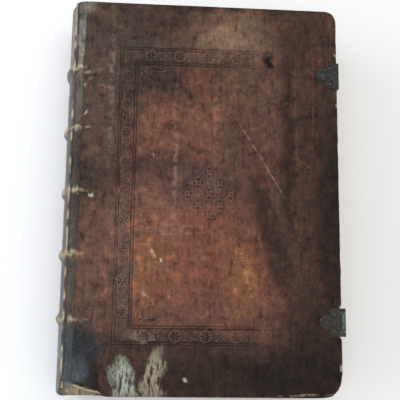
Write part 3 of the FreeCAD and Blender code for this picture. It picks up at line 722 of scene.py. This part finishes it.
for i in (-1, 0, 1):
    for j in (-1, 0, 1):
        places.append((QUATREFOIL, centre_x + 1.5 + (i - j) * lozenge_pitch * 0.71,
                       -1.2 + (i + j) * lozenge_pitch * 0.71, 0))
points = add_mesh("stamp places", [(x, y, 0) for _, x, y, _ in places], [])
kinds = points.data.attributes.new("kind", "INT", "POINT")
kinds.data.foreach_set("value", [kind for kind, *_ in places])
keep_values(points, "turn", [math.radians(turn) for *_, turn in places])
print("stamps placed", len(places))

# %% The node tree that sets the stamps
def new_tree(name, inputs):
    tree = bpy.data.node_groups.new(name, "GeometryNodeTree")
    for label, kind in [("Geometry", "NodeSocketGeometry")] + inputs:
        tree.interface.new_socket(label, in_out="INPUT", socket_type=kind)
    tree.interface.new_socket("Geometry", in_out="OUTPUT", socket_type="NodeSocketGeometry")
    return tree, node(tree, "NodeGroupInput"), node(tree, "NodeGroupOutput")


def run_tree(thing, tree, values):
    """Gives thing the tree with these inputs, and returns the mesh that comes out."""
    modifier = thing.modifiers.new(tree.name, "NODES")
    modifier.node_group = tree
    for item in tree.interface.items_tree:
        if item.in_out == "INPUT" and item.name in values:
            modifier[item.identifier] = values[item.name]
    ready = bpy.context.evaluated_depsgraph_get()
    mesh = bpy.data.meshes.new_from_object(thing.evaluated_get(ready), preserve_all_data_layers=True,
                                           depsgraph=ready)
    bpy.data.objects.remove(thing)
    return mesh


tree, given, result = new_tree("Set stamps on points", [
    ("Stamps", "NodeSocketCollection"), ("Leather", "NodeSocketMaterial"),
    ("Least relief", "NodeSocketFloat"), ("Wear size", "NodeSocketFloat"), ("Seed", "NodeSocketFloat")])
parts = node(tree, "GeometryNodeCollectionInfo", None,
             {"Collection": given.outputs["Stamps"], "Separate Children": True, "Reset Children": True})
kind = node(tree, "GeometryNodeInputNamedAttribute", {"data_type": "INT"}, {"Name": "kind"})
turn = node(tree, "GeometryNodeInputNamedAttribute", {"data_type": "FLOAT"}, {"Name": "turn"})
spin = node(tree, "ShaderNodeCombineXYZ", None, {"Z": turn.outputs["Attribute"]})
rub = node(tree, "ShaderNodeTexNoise", {"noise_dimensions": "4D"},
           {"Vector": node(tree, "GeometryNodeInputPosition"), "W": given.outputs["Seed"],
            "Scale": given.outputs["Wear size"]})
depth = node(tree, "ShaderNodeMapRange", None,
             {"Value": rub, "From Min": 0.35, "From Max": 0.6, "To Min": given.outputs["Least relief"]})
scale = node(tree, "ShaderNodeCombineXYZ", None, {"X": 1.0, "Y": 1.0, "Z": depth})
setting = node(tree, "GeometryNodeInstanceOnPoints", None,
               {"Points": given.outputs["Geometry"], "Instance": parts, "Pick Instance": True,
                "Instance Index": kind.outputs["Attribute"], "Rotation": spin, "Scale": scale})
real = node(tree, "GeometryNodeRealizeInstances", None, {"Geometry": setting})
node_out = node(tree, "GeometryNodeSetMaterial", None,
                {"Geometry": real, "Material": given.outputs["Leather"]})
tree.links.new(node_out.outputs[0], result.inputs["Geometry"])
tooled = run_tree(points, tree, {"Stamps": stamps, "Leather": head_part, "Least relief": 0.55,
                                 "Wear size": 30.0, "Seed": 4.0})


def read_points(mesh):
    flat = np.zeros(len(mesh.vertices) * 3, np.float32)
    mesh.vertices.foreach_get("co", flat)
    return flat.reshape(-1, 3).astype(float) * 1000


def write_points(mesh, points):
    mesh.vertices.foreach_set("co", (points / 1000).astype(np.float32).ravel())
    mesh.update()


def lay_tooling(name, mesh, body):
    """Sets the ornament on the cover's own unevenness and fades it where the cover is worn."""
    spots = read_points(mesh)
    kept = wear(spots[:, 0], spots[:, 1])
    base = face_height(spots[:, 0], spots[:, 1])
    depth = spots[:, 2] * (0.35 + 0.65 * kept)
    spots[:, 2] = book_thick + base + depth
    write_points(mesh, spots)
    raised = mesh.attributes["raised"].data
    values = np.zeros(len(mesh.vertices), np.float32)
    raised.foreach_get("value", values)
    raised.foreach_set("value", (values * kept).astype(np.float32))
    paint_front(mesh)
    mesh.shade_smooth()
    made = bpy.data.objects.new(name, mesh)
    scene.collection.objects.link(made)
    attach(made, body)
    print(name, "faces", len(mesh.polygons))


lay_tooling("front_tooling", tooled, "front_cover")
for patch in list(stamps.objects):
    bpy.data.objects.remove(patch)

# %% [markdown]
# ## Leather of the back
# One hide covers the round of the back and is moulded over the five cords. It is worn through to a
# cream layer on the bands and along the joint, where the pale ridge is also painted highlight, and
# polished by hands between them. A slate-blue patch at the tail is painted reflection of the sky. At
# the tail the cap is torn away beside the front joint. Its mesh is a section along the back, turned
# about the back's axis.

# %% Back leather
spine_low = corners_mm("spine_leather")[0]
back_round = 8.0
cap_radius = 3.0
lip = 8.0
hide_thick = 1.2
joint_half = front_joint_z - mid_z
back_radius = (joint_half ** 2 + back_round ** 2) / (2 * back_round)
back_axis = joint_x + back_radius - back_round
band_rise = joint_x - back_round - spine_low[0]
last_turn = math.acos((back_radius - back_round + 0.3) / back_radius)
# The slate-blue patch at the tail is painted reflection of the sky, not a stain.
spine_calf = calf("calf_back_strip", "#43362f", [
    ("#4d565c", 0.8, (-110, -134), (12, 28), 0), ("#2f2724", 0.7, (-110, 20), (12, 60), 0),
    ("#6a6258", 0.7, (-110, 130), (12, 26), 0)],
    gloss=0.35, worn=0.7, rubbed="#b3a07c", polish=0.3)


def back_rise(turn, y):
    """Height over the plain round of the back, and how pale it is: rubbed on the bands, rubbed and painted
    highlight on the ridge by the joint.
    """
    from_joint = (last_turn - np.abs(turn)) * back_radius
    room = np.clip(from_joint * 0.42, 0, band_rise)
    band = sum(np.exp(-np.abs((y - y0) / 3.6) ** 2.6) for y0 in band_ys)
    dents = 0.16 * lumps(y, turn * 55, 9, 1.5) + 0.1 * lumps(y, turn * 55, 3, 2.5)
    rubbed = np.clip(band * (0.55 + 0.8 * lumps(y, turn * 55, 7, 3.5)), 0, 1)
    edge = np.clip(1 - np.abs(from_joint - 1.6) / 1.8, 0, 1) * (0.5 + lumps(y, turn * 55, 12, 4.5))
    return np.minimum(band * band_rise, room) + dents * np.clip(room, 0, 1), np.maximum(rubbed, edge)


def back_leather():
    turns = np.linspace(-last_turn, last_turn, 49)
    cap = [(cap_radius * math.sin(t) - cap_radius, cap_radius * math.cos(t) - cap_radius)
           for t in np.linspace(math.pi / 2, 0, 6)]
    outer_y = np.arange(-half_y + 3.4, half_y - 3, 0.85)
    section = [(-half_y - reach, drop) for reach, drop in cap]
    section += [(y, 0) for y in outer_y]
    section += [(half_y + reach, drop) for reach, drop in reversed(cap)]
    section += [(half_y, -lip), (half_y - hide_thick, -lip)]
    section += [(y, -hide_thick) for y in np.linspace(half_y - 1.4, -half_y + 1.4, 60)]
    section += [(-half_y + hide_thick, -lip), (-half_y, -lip)]
    y = np.tile([s[0] for s in section], (len(turns), 1))
    inward = np.tile([s[1] for s in section], (len(turns), 1))
    turn = np.tile(turns[:, None], (1, len(section)))
    rise, rubbed = back_rise(turn, y)
    outer = (inward > -cap_radius - 0.5) & (inward != -hide_thick)
    radius = back_radius + inward + np.where(outer, rise, 0)
    tear = np.clip((turn - 0.37) / 0.09, 0, 1) * (13 + 5 * lumps(turn * 60, turn * 0, 2.5, 8.0))
    tear += 0.8 * lumps(turn * 55, turn * 0, 4.0, 2.0)
    y = y + np.maximum(tear, 0) * np.clip((-y - half_y + 32) / 32, 0, 1)
    spots = np.stack([back_axis - radius * np.cos(turn), y, mid_z + radius * np.sin(turn)], -1)
    rows, columns = turn.shape
    faces = tube_faces(rows, columns, turned_ends=True)
    made = add_mesh("back_calf", spots.reshape(-1, 3), faces, "text_block", spine_calf)
    keep_values(made, "raised", np.where(outer, rubbed, 0))
    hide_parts("spine_leather")
    print("back leather points", rows * columns)


back_leather()

# %% [markdown]
# ## Leather over the joints
# Beside each board the leather runs down a bevel, dips into the joint, and rises again to a rubbed
# ridge, paler also as painted highlight, before it meets the back. It is a piece of its own.

# %% Joint strips
# The grey-green patch at the head and the slate-blue one at the tail are painted reflection of the sky, not
# stains.
joint_calf = calf("calf_joint", "#3c2f28", [
    ("#716f66", 0.9, (-103, 130), (5, 36), 0), ("#57524a", 0.8, (-103, 74), (3.5, 26), 0),
    ("#2a211d", 0.8, (-102, 20), (5, 40), 0), ("#41372f", 0.8, (-103, -60), (4, 36), 0),
    ("#343b40", 0.9, (-103, -130), (9, 24), 0)], gloss=0.2, worn=0.8, rubbed="#b5a888", polish=0.12)


def joint_strip(name, front):
    """Section points: x from the joint line, height over the joint line, how pale or dark: above 0 rubbed
    and painted highlight on the ridge, below 0 painted shade in the joint's groove.
    """
    def on_back(turn_deg, out):
        turn = math.radians(turn_deg)
        return (back_axis - joint_x - (back_radius + out) * math.cos(turn),
                (back_radius + out) * math.sin(turn) - joint_half)

    # The third number below 0 paints shade into the joint's groove; above 0 it pales the ridge as wear and
    # painted highlight.
    section = [(*on_back(24.2, -0.5), 0), (*on_back(24.6, 0.12), 0.1), (*on_back(26, 0.5), 0.6),
               (*on_back(27.5, 0.95), 1), (*on_back(29.2, 0.75), 0.9), (-0.35, -0.05, -0.4),
               (0.25, -0.15, -0.9), (0.9, 0.3, -0.4), (1.9, 0.95, 0.1), (3.2, 1.4, 0.15), (4.4, 1.8, 0.1),
               (5.4, 2.12, 0.2), (6.2, 2.2, 0.1), (7.0, 2.05, 0), (7.2, 1.4, 0), (4, 0.6, 0), (0.9, -0.9, 0),
               (-1.2, -2.6, 0)]
    ys = np.arange(-half_y + (12 if front else 2), half_y - 0.8, 1.1)
    x = np.tile([s[0] for s in section], (len(ys), 1))
    z = np.tile([s[1] for s in section], (len(ys), 1))
    rubbed = np.tile([s[2] for s in section], (len(ys), 1)).astype(float)
    y = np.tile(ys[:, None], (1, len(section)))
    outer = np.tile(np.arange(len(section)) < 14, (len(ys), 1))
    band = sum(np.exp(-((y - y0) / 3.2) ** 2) for y0 in band_ys)
    lift = 1.0 * band * np.clip((6.9 - x) / 3, 0, 1) * np.clip((x + 6) / 2, 0, 1)
    lift += 0.16 * lumps(x * 2, y, 5, 1.0) + 0.1 * lumps(x * 3, y, 2.5, 2.0)
    z = z + np.where(outer, lift, 0)
    rubbed = rubbed * np.clip(0.45 + 1.5 * lumps(x * 2, y, 7, 4.0), 0, 1)
    rubbed = np.where(outer, rubbed + 0.9 * band * np.clip(0.6 + lumps(x, y, 3, 5.0), 0, 1), 0)
    spots = np.stack([joint_x + x, y + 0.8 * lumps(x * 6, y * 0, 3, 7.0), front_joint_z + z], -1)
    rows, columns = x.shape
    faces = tube_faces(rows, columns, turned_ends=True)
    if not front:
        spots[..., 2] = np.maximum(book_thick - spots[..., 2], 0.02)
        faces = [tuple(reversed(face)) for face in faces]
    made = add_mesh(name, spots.reshape(-1, 3), faces, None, joint_calf)
    keep_values(made, "raised", rubbed)
    if front:
        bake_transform(made)
    else:
        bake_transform(made)


joint_strip("front_joint_calf", True)
joint_strip("back_joint_calf", False)

# %% [markdown]
# ## Torn leather at the tail
# The tail edge beside the joint is ripped: a cream-brown strip has lifted and curled, and a small
# flap has lifted beside the last band.

# %% Curled strips
torn_skin = calf("calf_torn", "#8a7960", gloss=0.2, worn=0.9, rubbed="#cabb98")


def curled_strip(name, path, width, lift, body, thick=0.7):
    """A ribbon along path (x, y, z) whose upper edge curls up and back."""
    path = np.array(path, float)
    share = np.linspace(0, 1, 44)
    at = np.concatenate([[0], np.cumsum(np.linalg.norm(np.diff(path, axis=0), axis=1))])
    line = np.stack([np.interp(share * at[-1], at, path[:, k]) for k in range(3)], -1)
    across = np.array([path[0][1] - path[-1][1], path[-1][0] - path[0][0], 0])
    across /= np.linalg.norm(across)
    ring = []
    for s in np.linspace(0, 1, 9):
        curl = s * 2.6
        ring.append((width * (s - 0.25 * max(curl - 1.4, 0)), lift * math.sin(curl * 0.8) ** 2))
    ring += [(w, h - thick) for w, h in reversed(ring)]
    ragged = 1 + 0.35 * lumps(share * 40, share * 0, 3.0, 1.0)
    start_taper, end_taper = [np.sin(np.clip(way * 5, 0, 1) * math.pi / 2) for way in (share, 1 - share)]
    ends = start_taper * end_taper
    spots = []
    for centre, wide, end in zip(line, ragged, np.maximum(ends, 0.15)):
        for w, h in ring:
            spots.append(centre + across * w * wide * end + np.array([0, 0, h * (0.4 + 0.6 * end)]))
    faces = tube_faces(len(line), len(ring))
    made = add_mesh(name, spots, faces, body, torn_skin)
    crest = [1 if i in (3, 4, 5, 6) else 0.2 for i in range(len(ring))]
    keep_values(made, "raised", np.tile(crest, len(line)))


curled_strip("tail_curl", [(-100.6, -152.2, 61.2), (-94, -155.4, 61.3), (-86, -157.6, 61.3),
                           (-77, -158.8, 61.2)], 3.0, 1.5, "front_cover")
curled_strip("band_flap", [(-111.0, -97.5, 50.2), (-110.2, -101.5, 52.4), (-109.4, -105.5, 53.6)],
             2.0, 0.8, "text_block")

# %% [markdown]
# ## Leaves
# The leaves are one solid, so its sides carry their edges: thin slices, each a little out of line
# with the next, in gatherings that bulge. Rag paper of this age is a warm cream, brown at the edges.

# %% Paper
def paper(name, base, edge_lines=False):
    made, tree, surface, place = new_material(name)
    cloud = grain(tree, place, 30.0, 4.0)
    paint = spotted(tree, base, cloud, 0.35, 0.7, 0.6, "#b79f74")
    foxing = grain(tree, place, 7.0, 5.0, roughness=0.7)
    paint = spotted(tree, paint, foxing, 0.62, 0.74, 0.55, "#8a5f36")
    fibre = grain(tree, place, 0.5, 4.0)
    height = fibre
    if edge_lines:
        lines = grain(tree, place, 0.34, 3.0, stretch=(60, 60, 1))
        paint = spotted(tree, paint, lines, 0.5, 0.28, 0.75, "#5d4a30")
        soil = grain(tree, place, 2.4, 3.0, stretch=(30, 30, 1))
        paint = spotted(tree, paint, soil, 0.5, 0.75, 0.5, "#77603f")
        height = lines
    set_surface(tree, surface, paint, 0.85, height, 0.12, gloss=0.2)
    return made


leaf_edges = paper("rag_paper_edges", "#cdb98c", True)
pasted_paper = paper("pastedown_paper", "#cbbd98")
block_low, block_high = corners_mm("text_block")
text_top = corners_mm("front_pastedown")[0][2] - 0.3
text_radius = back_axis - block_low[0]
fore_hollow = 5.0
leaf_step, slice_gap = 0.3, 0.02


def leaf_block():
    levels = np.arange(block_low[2], block_high[2], leaf_step)
    text_base = book_thick - text_top
    levels = np.unique(np.concatenate([levels, [text_base, text_base - slice_gap,
                                                text_top, text_top + slice_gap]]))
    spots = []
    drift = np.random.default_rng(7).normal(0, 0.09, len(levels))
    for z, off in zip(levels, drift):
        back_x = back_axis - math.sqrt(text_radius ** 2 - (z - mid_z) ** 2)
        inside = (z - mid_z) / (text_top - mid_z)
        whole = abs(inside) <= 1
        fore_x = block_high[0] - fore_hollow * (1 - inside ** 2) if whole else joint_x + 0.2
        x_run = np.linspace(back_x, fore_x, 60)
        y_run = np.linspace(block_low[1], block_high[1], 80)
        wave = 0.25 * lumps(x_run, x_run * 0 + z * 9, 14, 1.0) - 0.25 + off
        fore = (0.35 * lumps(y_run, y_run * 0 + z * 7, 20, 2.0) - 0.4 + off) * whole
        fore -= 0.35 * abs(math.sin(z * math.pi / 5.5)) * whole
        tail = [(x, block_low[1] - w, z) for x, w in zip(x_run, wave)]
        edge = [(fore_x + w, y, z) for y, w in zip(y_run[1:-1], fore[1:-1])]
        head = [(x, block_high[1] + w, z) for x, w in zip(x_run[::-1], wave[::-1])]
        back = [(back_x, y, z) for y in y_run[::-8][1:-1]]
        loop = tail + edge + head + back
        spots += loop
    rows, columns = len(levels), len(loop)
    faces = tube_faces(rows, columns)
    made = add_mesh("leaves", spots, faces, "text_block", leaf_edges)
    made.data.materials.append(pasted_paper)
    for face in made.data.polygons:
        face.material_index = 1 if abs(face.normal.z) > 0.9 else 0
    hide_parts("text_block")
    print("leaves: slices", rows, "points each", columns)


leaf_block()

# %% [markdown]
# ## Endbands
# Linen thread is wound side by side round a core at head and tail, in two colours by turns. A node
# tree walks along the core and sets a turn of thread at every step.

# %% Thread and endbands
def thread_material():
    made, tree, surface, place = new_material("linen_thread")
    turn = node(tree, "ShaderNodeAttribute", {"attribute_name": "thread"})
    paint = blended(tree, turn.outputs["Fac"], "#b7a479", "#6d4a33")
    dirt = grain(tree, place, 1.5, 4.0)
    paint = spotted(tree, paint, dirt, 0.45, 0.75, 0.6, "#5d4c38")
    set_surface(tree, surface, paint, 0.8, grain(tree, place, 0.25, 2.0), 0.1, gloss=0.25)
    return made


thread = thread_material()
tree, given, result = new_tree("Wind thread on a core", [
    ("Core radius", "NodeSocketFloat"), ("Thread radius", "NodeSocketFloat"), ("Step", "NodeSocketFloat"),
    ("Thread", "NodeSocketMaterial")])
path = node(tree, "GeometryNodeMeshToCurve", None, {"Mesh": given.outputs["Geometry"]})
steps = node(tree, "GeometryNodeResampleCurve", {"mode": "LENGTH"},
             {"Curve": path, "Length": given.outputs["Step"]})
tangent = node(tree, "GeometryNodeInputTangent")
facing = node(tree, "FunctionNodeAlignRotationToVector", {"axis": "Z"}, {"Vector": tangent})
turn_line = node(tree, "GeometryNodeCurvePrimitiveCircle", None,
                 {"Resolution": 20, "Radius": given.outputs["Core radius"]})
section = node(tree, "GeometryNodeCurvePrimitiveCircle", None,
               {"Resolution": 6, "Radius": given.outputs["Thread radius"]})
turn_mesh = node(tree, "GeometryNodeCurveToMesh", None, {"Curve": turn_line, "Profile Curve": section})
wound = node(tree, "GeometryNodeInstanceOnPoints", None,
             {"Points": steps, "Instance": turn_mesh, "Rotation": facing})
number = node(tree, "GeometryNodeInputIndex")
odd = node(tree, "ShaderNodeMath", {"operation": "MODULO"}, {0: number, 1: 2.0})
marked = node(tree, "GeometryNodeStoreNamedAttribute", {"data_type": "FLOAT", "domain": "INSTANCE"},
              {"Geometry": wound, "Name": "thread", "Value": odd})
real = node(tree, "GeometryNodeRealizeInstances", None, {"Geometry": marked})
core_section = node(tree, "GeometryNodeCurvePrimitiveCircle", None,
                    {"Resolution": 12, "Radius": given.outputs["Core radius"]})
core = node(tree, "GeometryNodeCurveToMesh", None,
            {"Curve": steps, "Profile Curve": core_section, "Fill Caps": True})
joined = node(tree, "GeometryNodeJoinGeometry", None, {"Geometry": real})
tree.links.new(core.outputs[0], joined.inputs[0])
finished = node(tree, "GeometryNodeSetMaterial", None,
                {"Geometry": joined, "Material": given.outputs["Thread"]})
tree.links.new(finished.outputs[0], result.inputs["Geometry"])

core_y, core_inset, core_points = 157.0, 2.4, 40
for label, side in (("head_endband", 1), ("tail_endband", -1)):
    low, high = corners_mm(label)
    core_radius = text_radius - core_inset
    half_turn = math.asin((high[2] - low[2]) / 2 / core_radius)
    arc = [(back_axis - core_radius * math.cos(t), side * core_y, mid_z + core_radius * math.sin(t))
           for t in np.linspace(-half_turn, half_turn, core_points)]
    line = bpy.data.meshes.new("core line")
    line.from_pydata((np.array(arc) / 1000).tolist(), [(i, i + 1) for i in range(core_points - 1)], [])
    core_line = bpy.data.objects.new("core line", line)
    scene.collection.objects.link(core_line)
    mesh = run_tree(core_line, tree, {"Core radius": 0.00195, "Thread radius": 0.00042, "Step": 0.0008,
                                      "Thread": thread})
    mesh.shade_smooth()
    band = bpy.data.objects.new(label + "_threads", mesh)
    scene.collection.objects.link(band)
    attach(band, "text_block")
    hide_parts(label)
    print(label, "faces", len(mesh.polygons))

# %% [markdown]
# ## Metal
# The clasps are old brass: brown-black where handled little, blue-green where damp has eaten it, pale
# where rubbed. The plates are copies of the frame's meshes with their edges rounded.

# %% Old brass
def old_brass(name, base, green, green_share, rough=0.5, metal=0.75):
    made, tree, surface, place = new_material(name)
    crust = grain(tree, place, 2.6, 5.0, roughness=0.65)
    spread = between(tree, crust, 0.62 - green_share * 0.3, 0.7 - green_share * 0.3)
    dark = grain(tree, place, 1.1, 4.0)
    paint = spotted(tree, base, dark, 0.4, 0.7, 0.7, "#2c2a24")
    paint = blended(tree, spread, paint, green)
    pale = grain(tree, place, 4.2, 3.0)
    paint = spotted(tree, paint, pale, 0.62, 0.78, 0.3, "#a9b2a4")
    set_surface(tree, surface, paint, between(tree, crust, 0.3, 0.7, rough - 0.1, rough + 0.3), crust, 0.16)
    bare = between(tree, spread, 0, 1, metal, 0.1)
    tree.links.new(bare.outputs[0], surface.inputs["Metallic"])
    return made


finishes = {
    "upper_hinge_plate": old_brass("corroded_brass", "#0f100f", "#131b19", 0.5, 0.5, 0.05),
    "lower_hinge_plate": old_brass("tarnished_brass", "#2e231a", "#3c4a40", 0.15, 0.55, 0.2),
    "clasp_arm": old_brass("verdigris_brass", "#464c46", "#4a5f59", 0.6, 0.5, 0.3),
    "clasp_hinge_pin": old_brass("pin_brass", "#9aa08c", "#8fae9a", 0.5),
    "hinge_plate_nails": old_brass("nail_brass", "#3d382e", "#46564d", 0.4, 0.5, 0.3),
}
finishes["upper_catch_plate"] = finishes["lower_hinge_plate"]
finishes["lower_catch_plate"] = finishes["lower_hinge_plate"]
finishes["catch_plate_nails"] = finishes["hinge_plate_nails"]
body_of = {name: thing["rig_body"] for name, thing in frame["nodes"].items()}


def rounded_copy(name, material, width):
    """A copy of a frame mesh with merged corners and small rounded edges."""
    mesh = frame["nodes"][name].data.copy()
    shape = bmesh.new()
    shape.from_mesh(mesh)
    bmesh.ops.remove_doubles(shape, verts=shape.verts, dist=2e-6)
    bmesh.ops.dissolve_limit(shape, angle_limit=math.radians(2), verts=shape.verts, edges=shape.edges)
    shape.to_mesh(mesh)
    shape.free()
    raw = bpy.data.objects.new(name + " raw", mesh)
    scene.collection.objects.link(raw)
    rounding = raw.modifiers.new("rounding", "BEVEL")
    rounding.width = width / 1000
    rounding.segments = 2
    rounding.limit_method = "ANGLE"
    rounding.angle_limit = math.radians(35)
    rounding.harden_normals = True
    ready = bpy.context.evaluated_depsgraph_get()
    smooth = bpy.data.meshes.new_from_object(raw.evaluated_get(ready), depsgraph=ready)
    bpy.data.objects.remove(raw)
    smooth.materials.clear()
    smooth.materials.append(material)
    made = bpy.data.objects.new(name + "_rounded", smooth)
    scene.collection.objects.link(made)
    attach(made, body_of[name])
    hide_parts(name)


small_edge, plate_edge = 0.12, 0.22
for name, material in finishes.items():
    rounded_copy(name, material, small_edge if "nail" in name or "pin" in name else plate_edge)
print("metal pieces", len(finishes))

# %% [markdown]
# ## Wood, cord and parchment
# These show at worn places, at the ends of the joints and when the book stands open. Oak has a
# lengthwise grain and dark pores. Hemp is twisted, so its cords carry slanting stripes.

# %% Finishes of the inner pieces
def oak(name):
    made, tree, surface, place = new_material(name)
    rings = grain(tree, place, 3.0, 4.0, stretch=(1, 14, 1))
    pores = grain(tree, place, 0.6, 3.0, stretch=(1, 16, 1))
    paint = blended(tree, between(tree, rings, 0.3, 0.7), "#7c5c3a", "#9a784e")
    paint = spotted(tree, paint, pores, 0.5, 0.3, 0.7, "#3f2c1a")
    set_surface(tree, surface, paint, 0.7, pores, 0.12, gloss=0.3)
    return made


def hemp(name, base):
    made, tree, surface, place = new_material(name)
    stripes = node(tree, "ShaderNodeTexWave", {"bands_direction": "DIAGONAL"},
                   {"Vector": place, "Scale": 0.35, "Distortion": 3.0, "Detail": 2.0})
    paint = blended(tree, between(tree, stripes.outputs["Fac"], 0.2, 0.8), base, "#5f4a30")
    set_surface(tree, surface, paint, 0.85, stripes.outputs["Fac"], 0.3, gloss=0.2)
    return made


def skin(name, base):
    made, tree, surface, place = new_material(name)
    cloud = grain(tree, place, 6.0, 5.0)
    paint = blended(tree, between(tree, cloud, 0.35, 0.7), base, "#8f7648")
    set_surface(tree, surface, paint, 0.6, cloud, 0.2, gloss=0.35)
    return made


oak_wood, hemp_cord, parchment = oak("oak_board"), hemp("hemp_cord", "#8f774f"), skin("parchment", "#b39a68")
plain = {"front_board": oak_wood, "back_board": oak_wood, "front_slip_pegs": oak_wood,
         "back_slip_pegs": oak_wood, "front_pastedown": pasted_paper, "back_pastedown": pasted_paper,
         "front_cord_slips": hemp_cord, "back_cord_slips": hemp_cord, "sewing_cords": hemp_cord,
         "spine_linings": parchment}
for name, material in plain.items():
    mesh = frame["nodes"][name].data
    mesh.materials.clear()
    mesh.materials.append(material)
print("plain pieces", len(plain))

# %% [markdown]
# ## Floor and light
# A pale floor and an even white light show the leather's own colours. A large soft lamp at the left
# stands for the window whose light slides along the rounded back.

# %% Floor and light
world = bpy.data.worlds.new("studio")
scene.world = world
world.use_nodes = True
sky = world.node_tree
seen = node(sky, "ShaderNodeLightPath")
seen_white = node(sky, "ShaderNodeMath", {"operation": "MAXIMUM"},
                  {0: seen.outputs["Is Camera Ray"], 1: seen.outputs["Is Transmission Ray"]})
room_light = 0.72
strength = node(sky, "ShaderNodeMapRange", None,
                {"Value": seen_white, "To Min": room_light, "To Max": 1.0})
sky.nodes["Background"].inputs["Color"].default_value = (1, 1, 1, 1)
sky.links.new(strength.outputs[0], sky.nodes["Background"].inputs["Strength"])


def soft_lamp(name, place, aim, size, power, tint):
    data = bpy.data.lights.new(name, "AREA")
    data.shape = "RECTANGLE"
    data.size, data.size_y = size
    data.energy = power
    data.color = colour(tint)[:3]
    lamp = bpy.data.objects.new(name, data)
    lamp.location = place
    lamp.rotation_euler = (Vector(aim) - Vector(place)).to_track_quat("-Z", "Y").to_euler()
    scene.collection.objects.link(lamp)


soft_lamp("window", (-1.1, 0.15, 0.55), (-0.1, 0, 0.03), (1.2, 0.9), 9.0, "#e4eeff")
soft_lamp("ceiling", (0.2, 0.3, 1.6), (0, 0, 0), (1.6, 1.6), 9.0, "#ffffff")

floor_paint, _, floor_surface, _ = new_material("pale_floor")
floor_surface.inputs["Base Color"].default_value = colour("#f4f4f4")
floor_surface.inputs["Roughness"].default_value = 0.9
floor = add_mesh("floor", [(-3000, -3000, 0), (3000, -3000, 0), (3000, 3000, 0), (-3000, 3000, 0)],
                 [(0, 1, 2, 3)], None, floor_paint)
floor.location.z = -0.0002
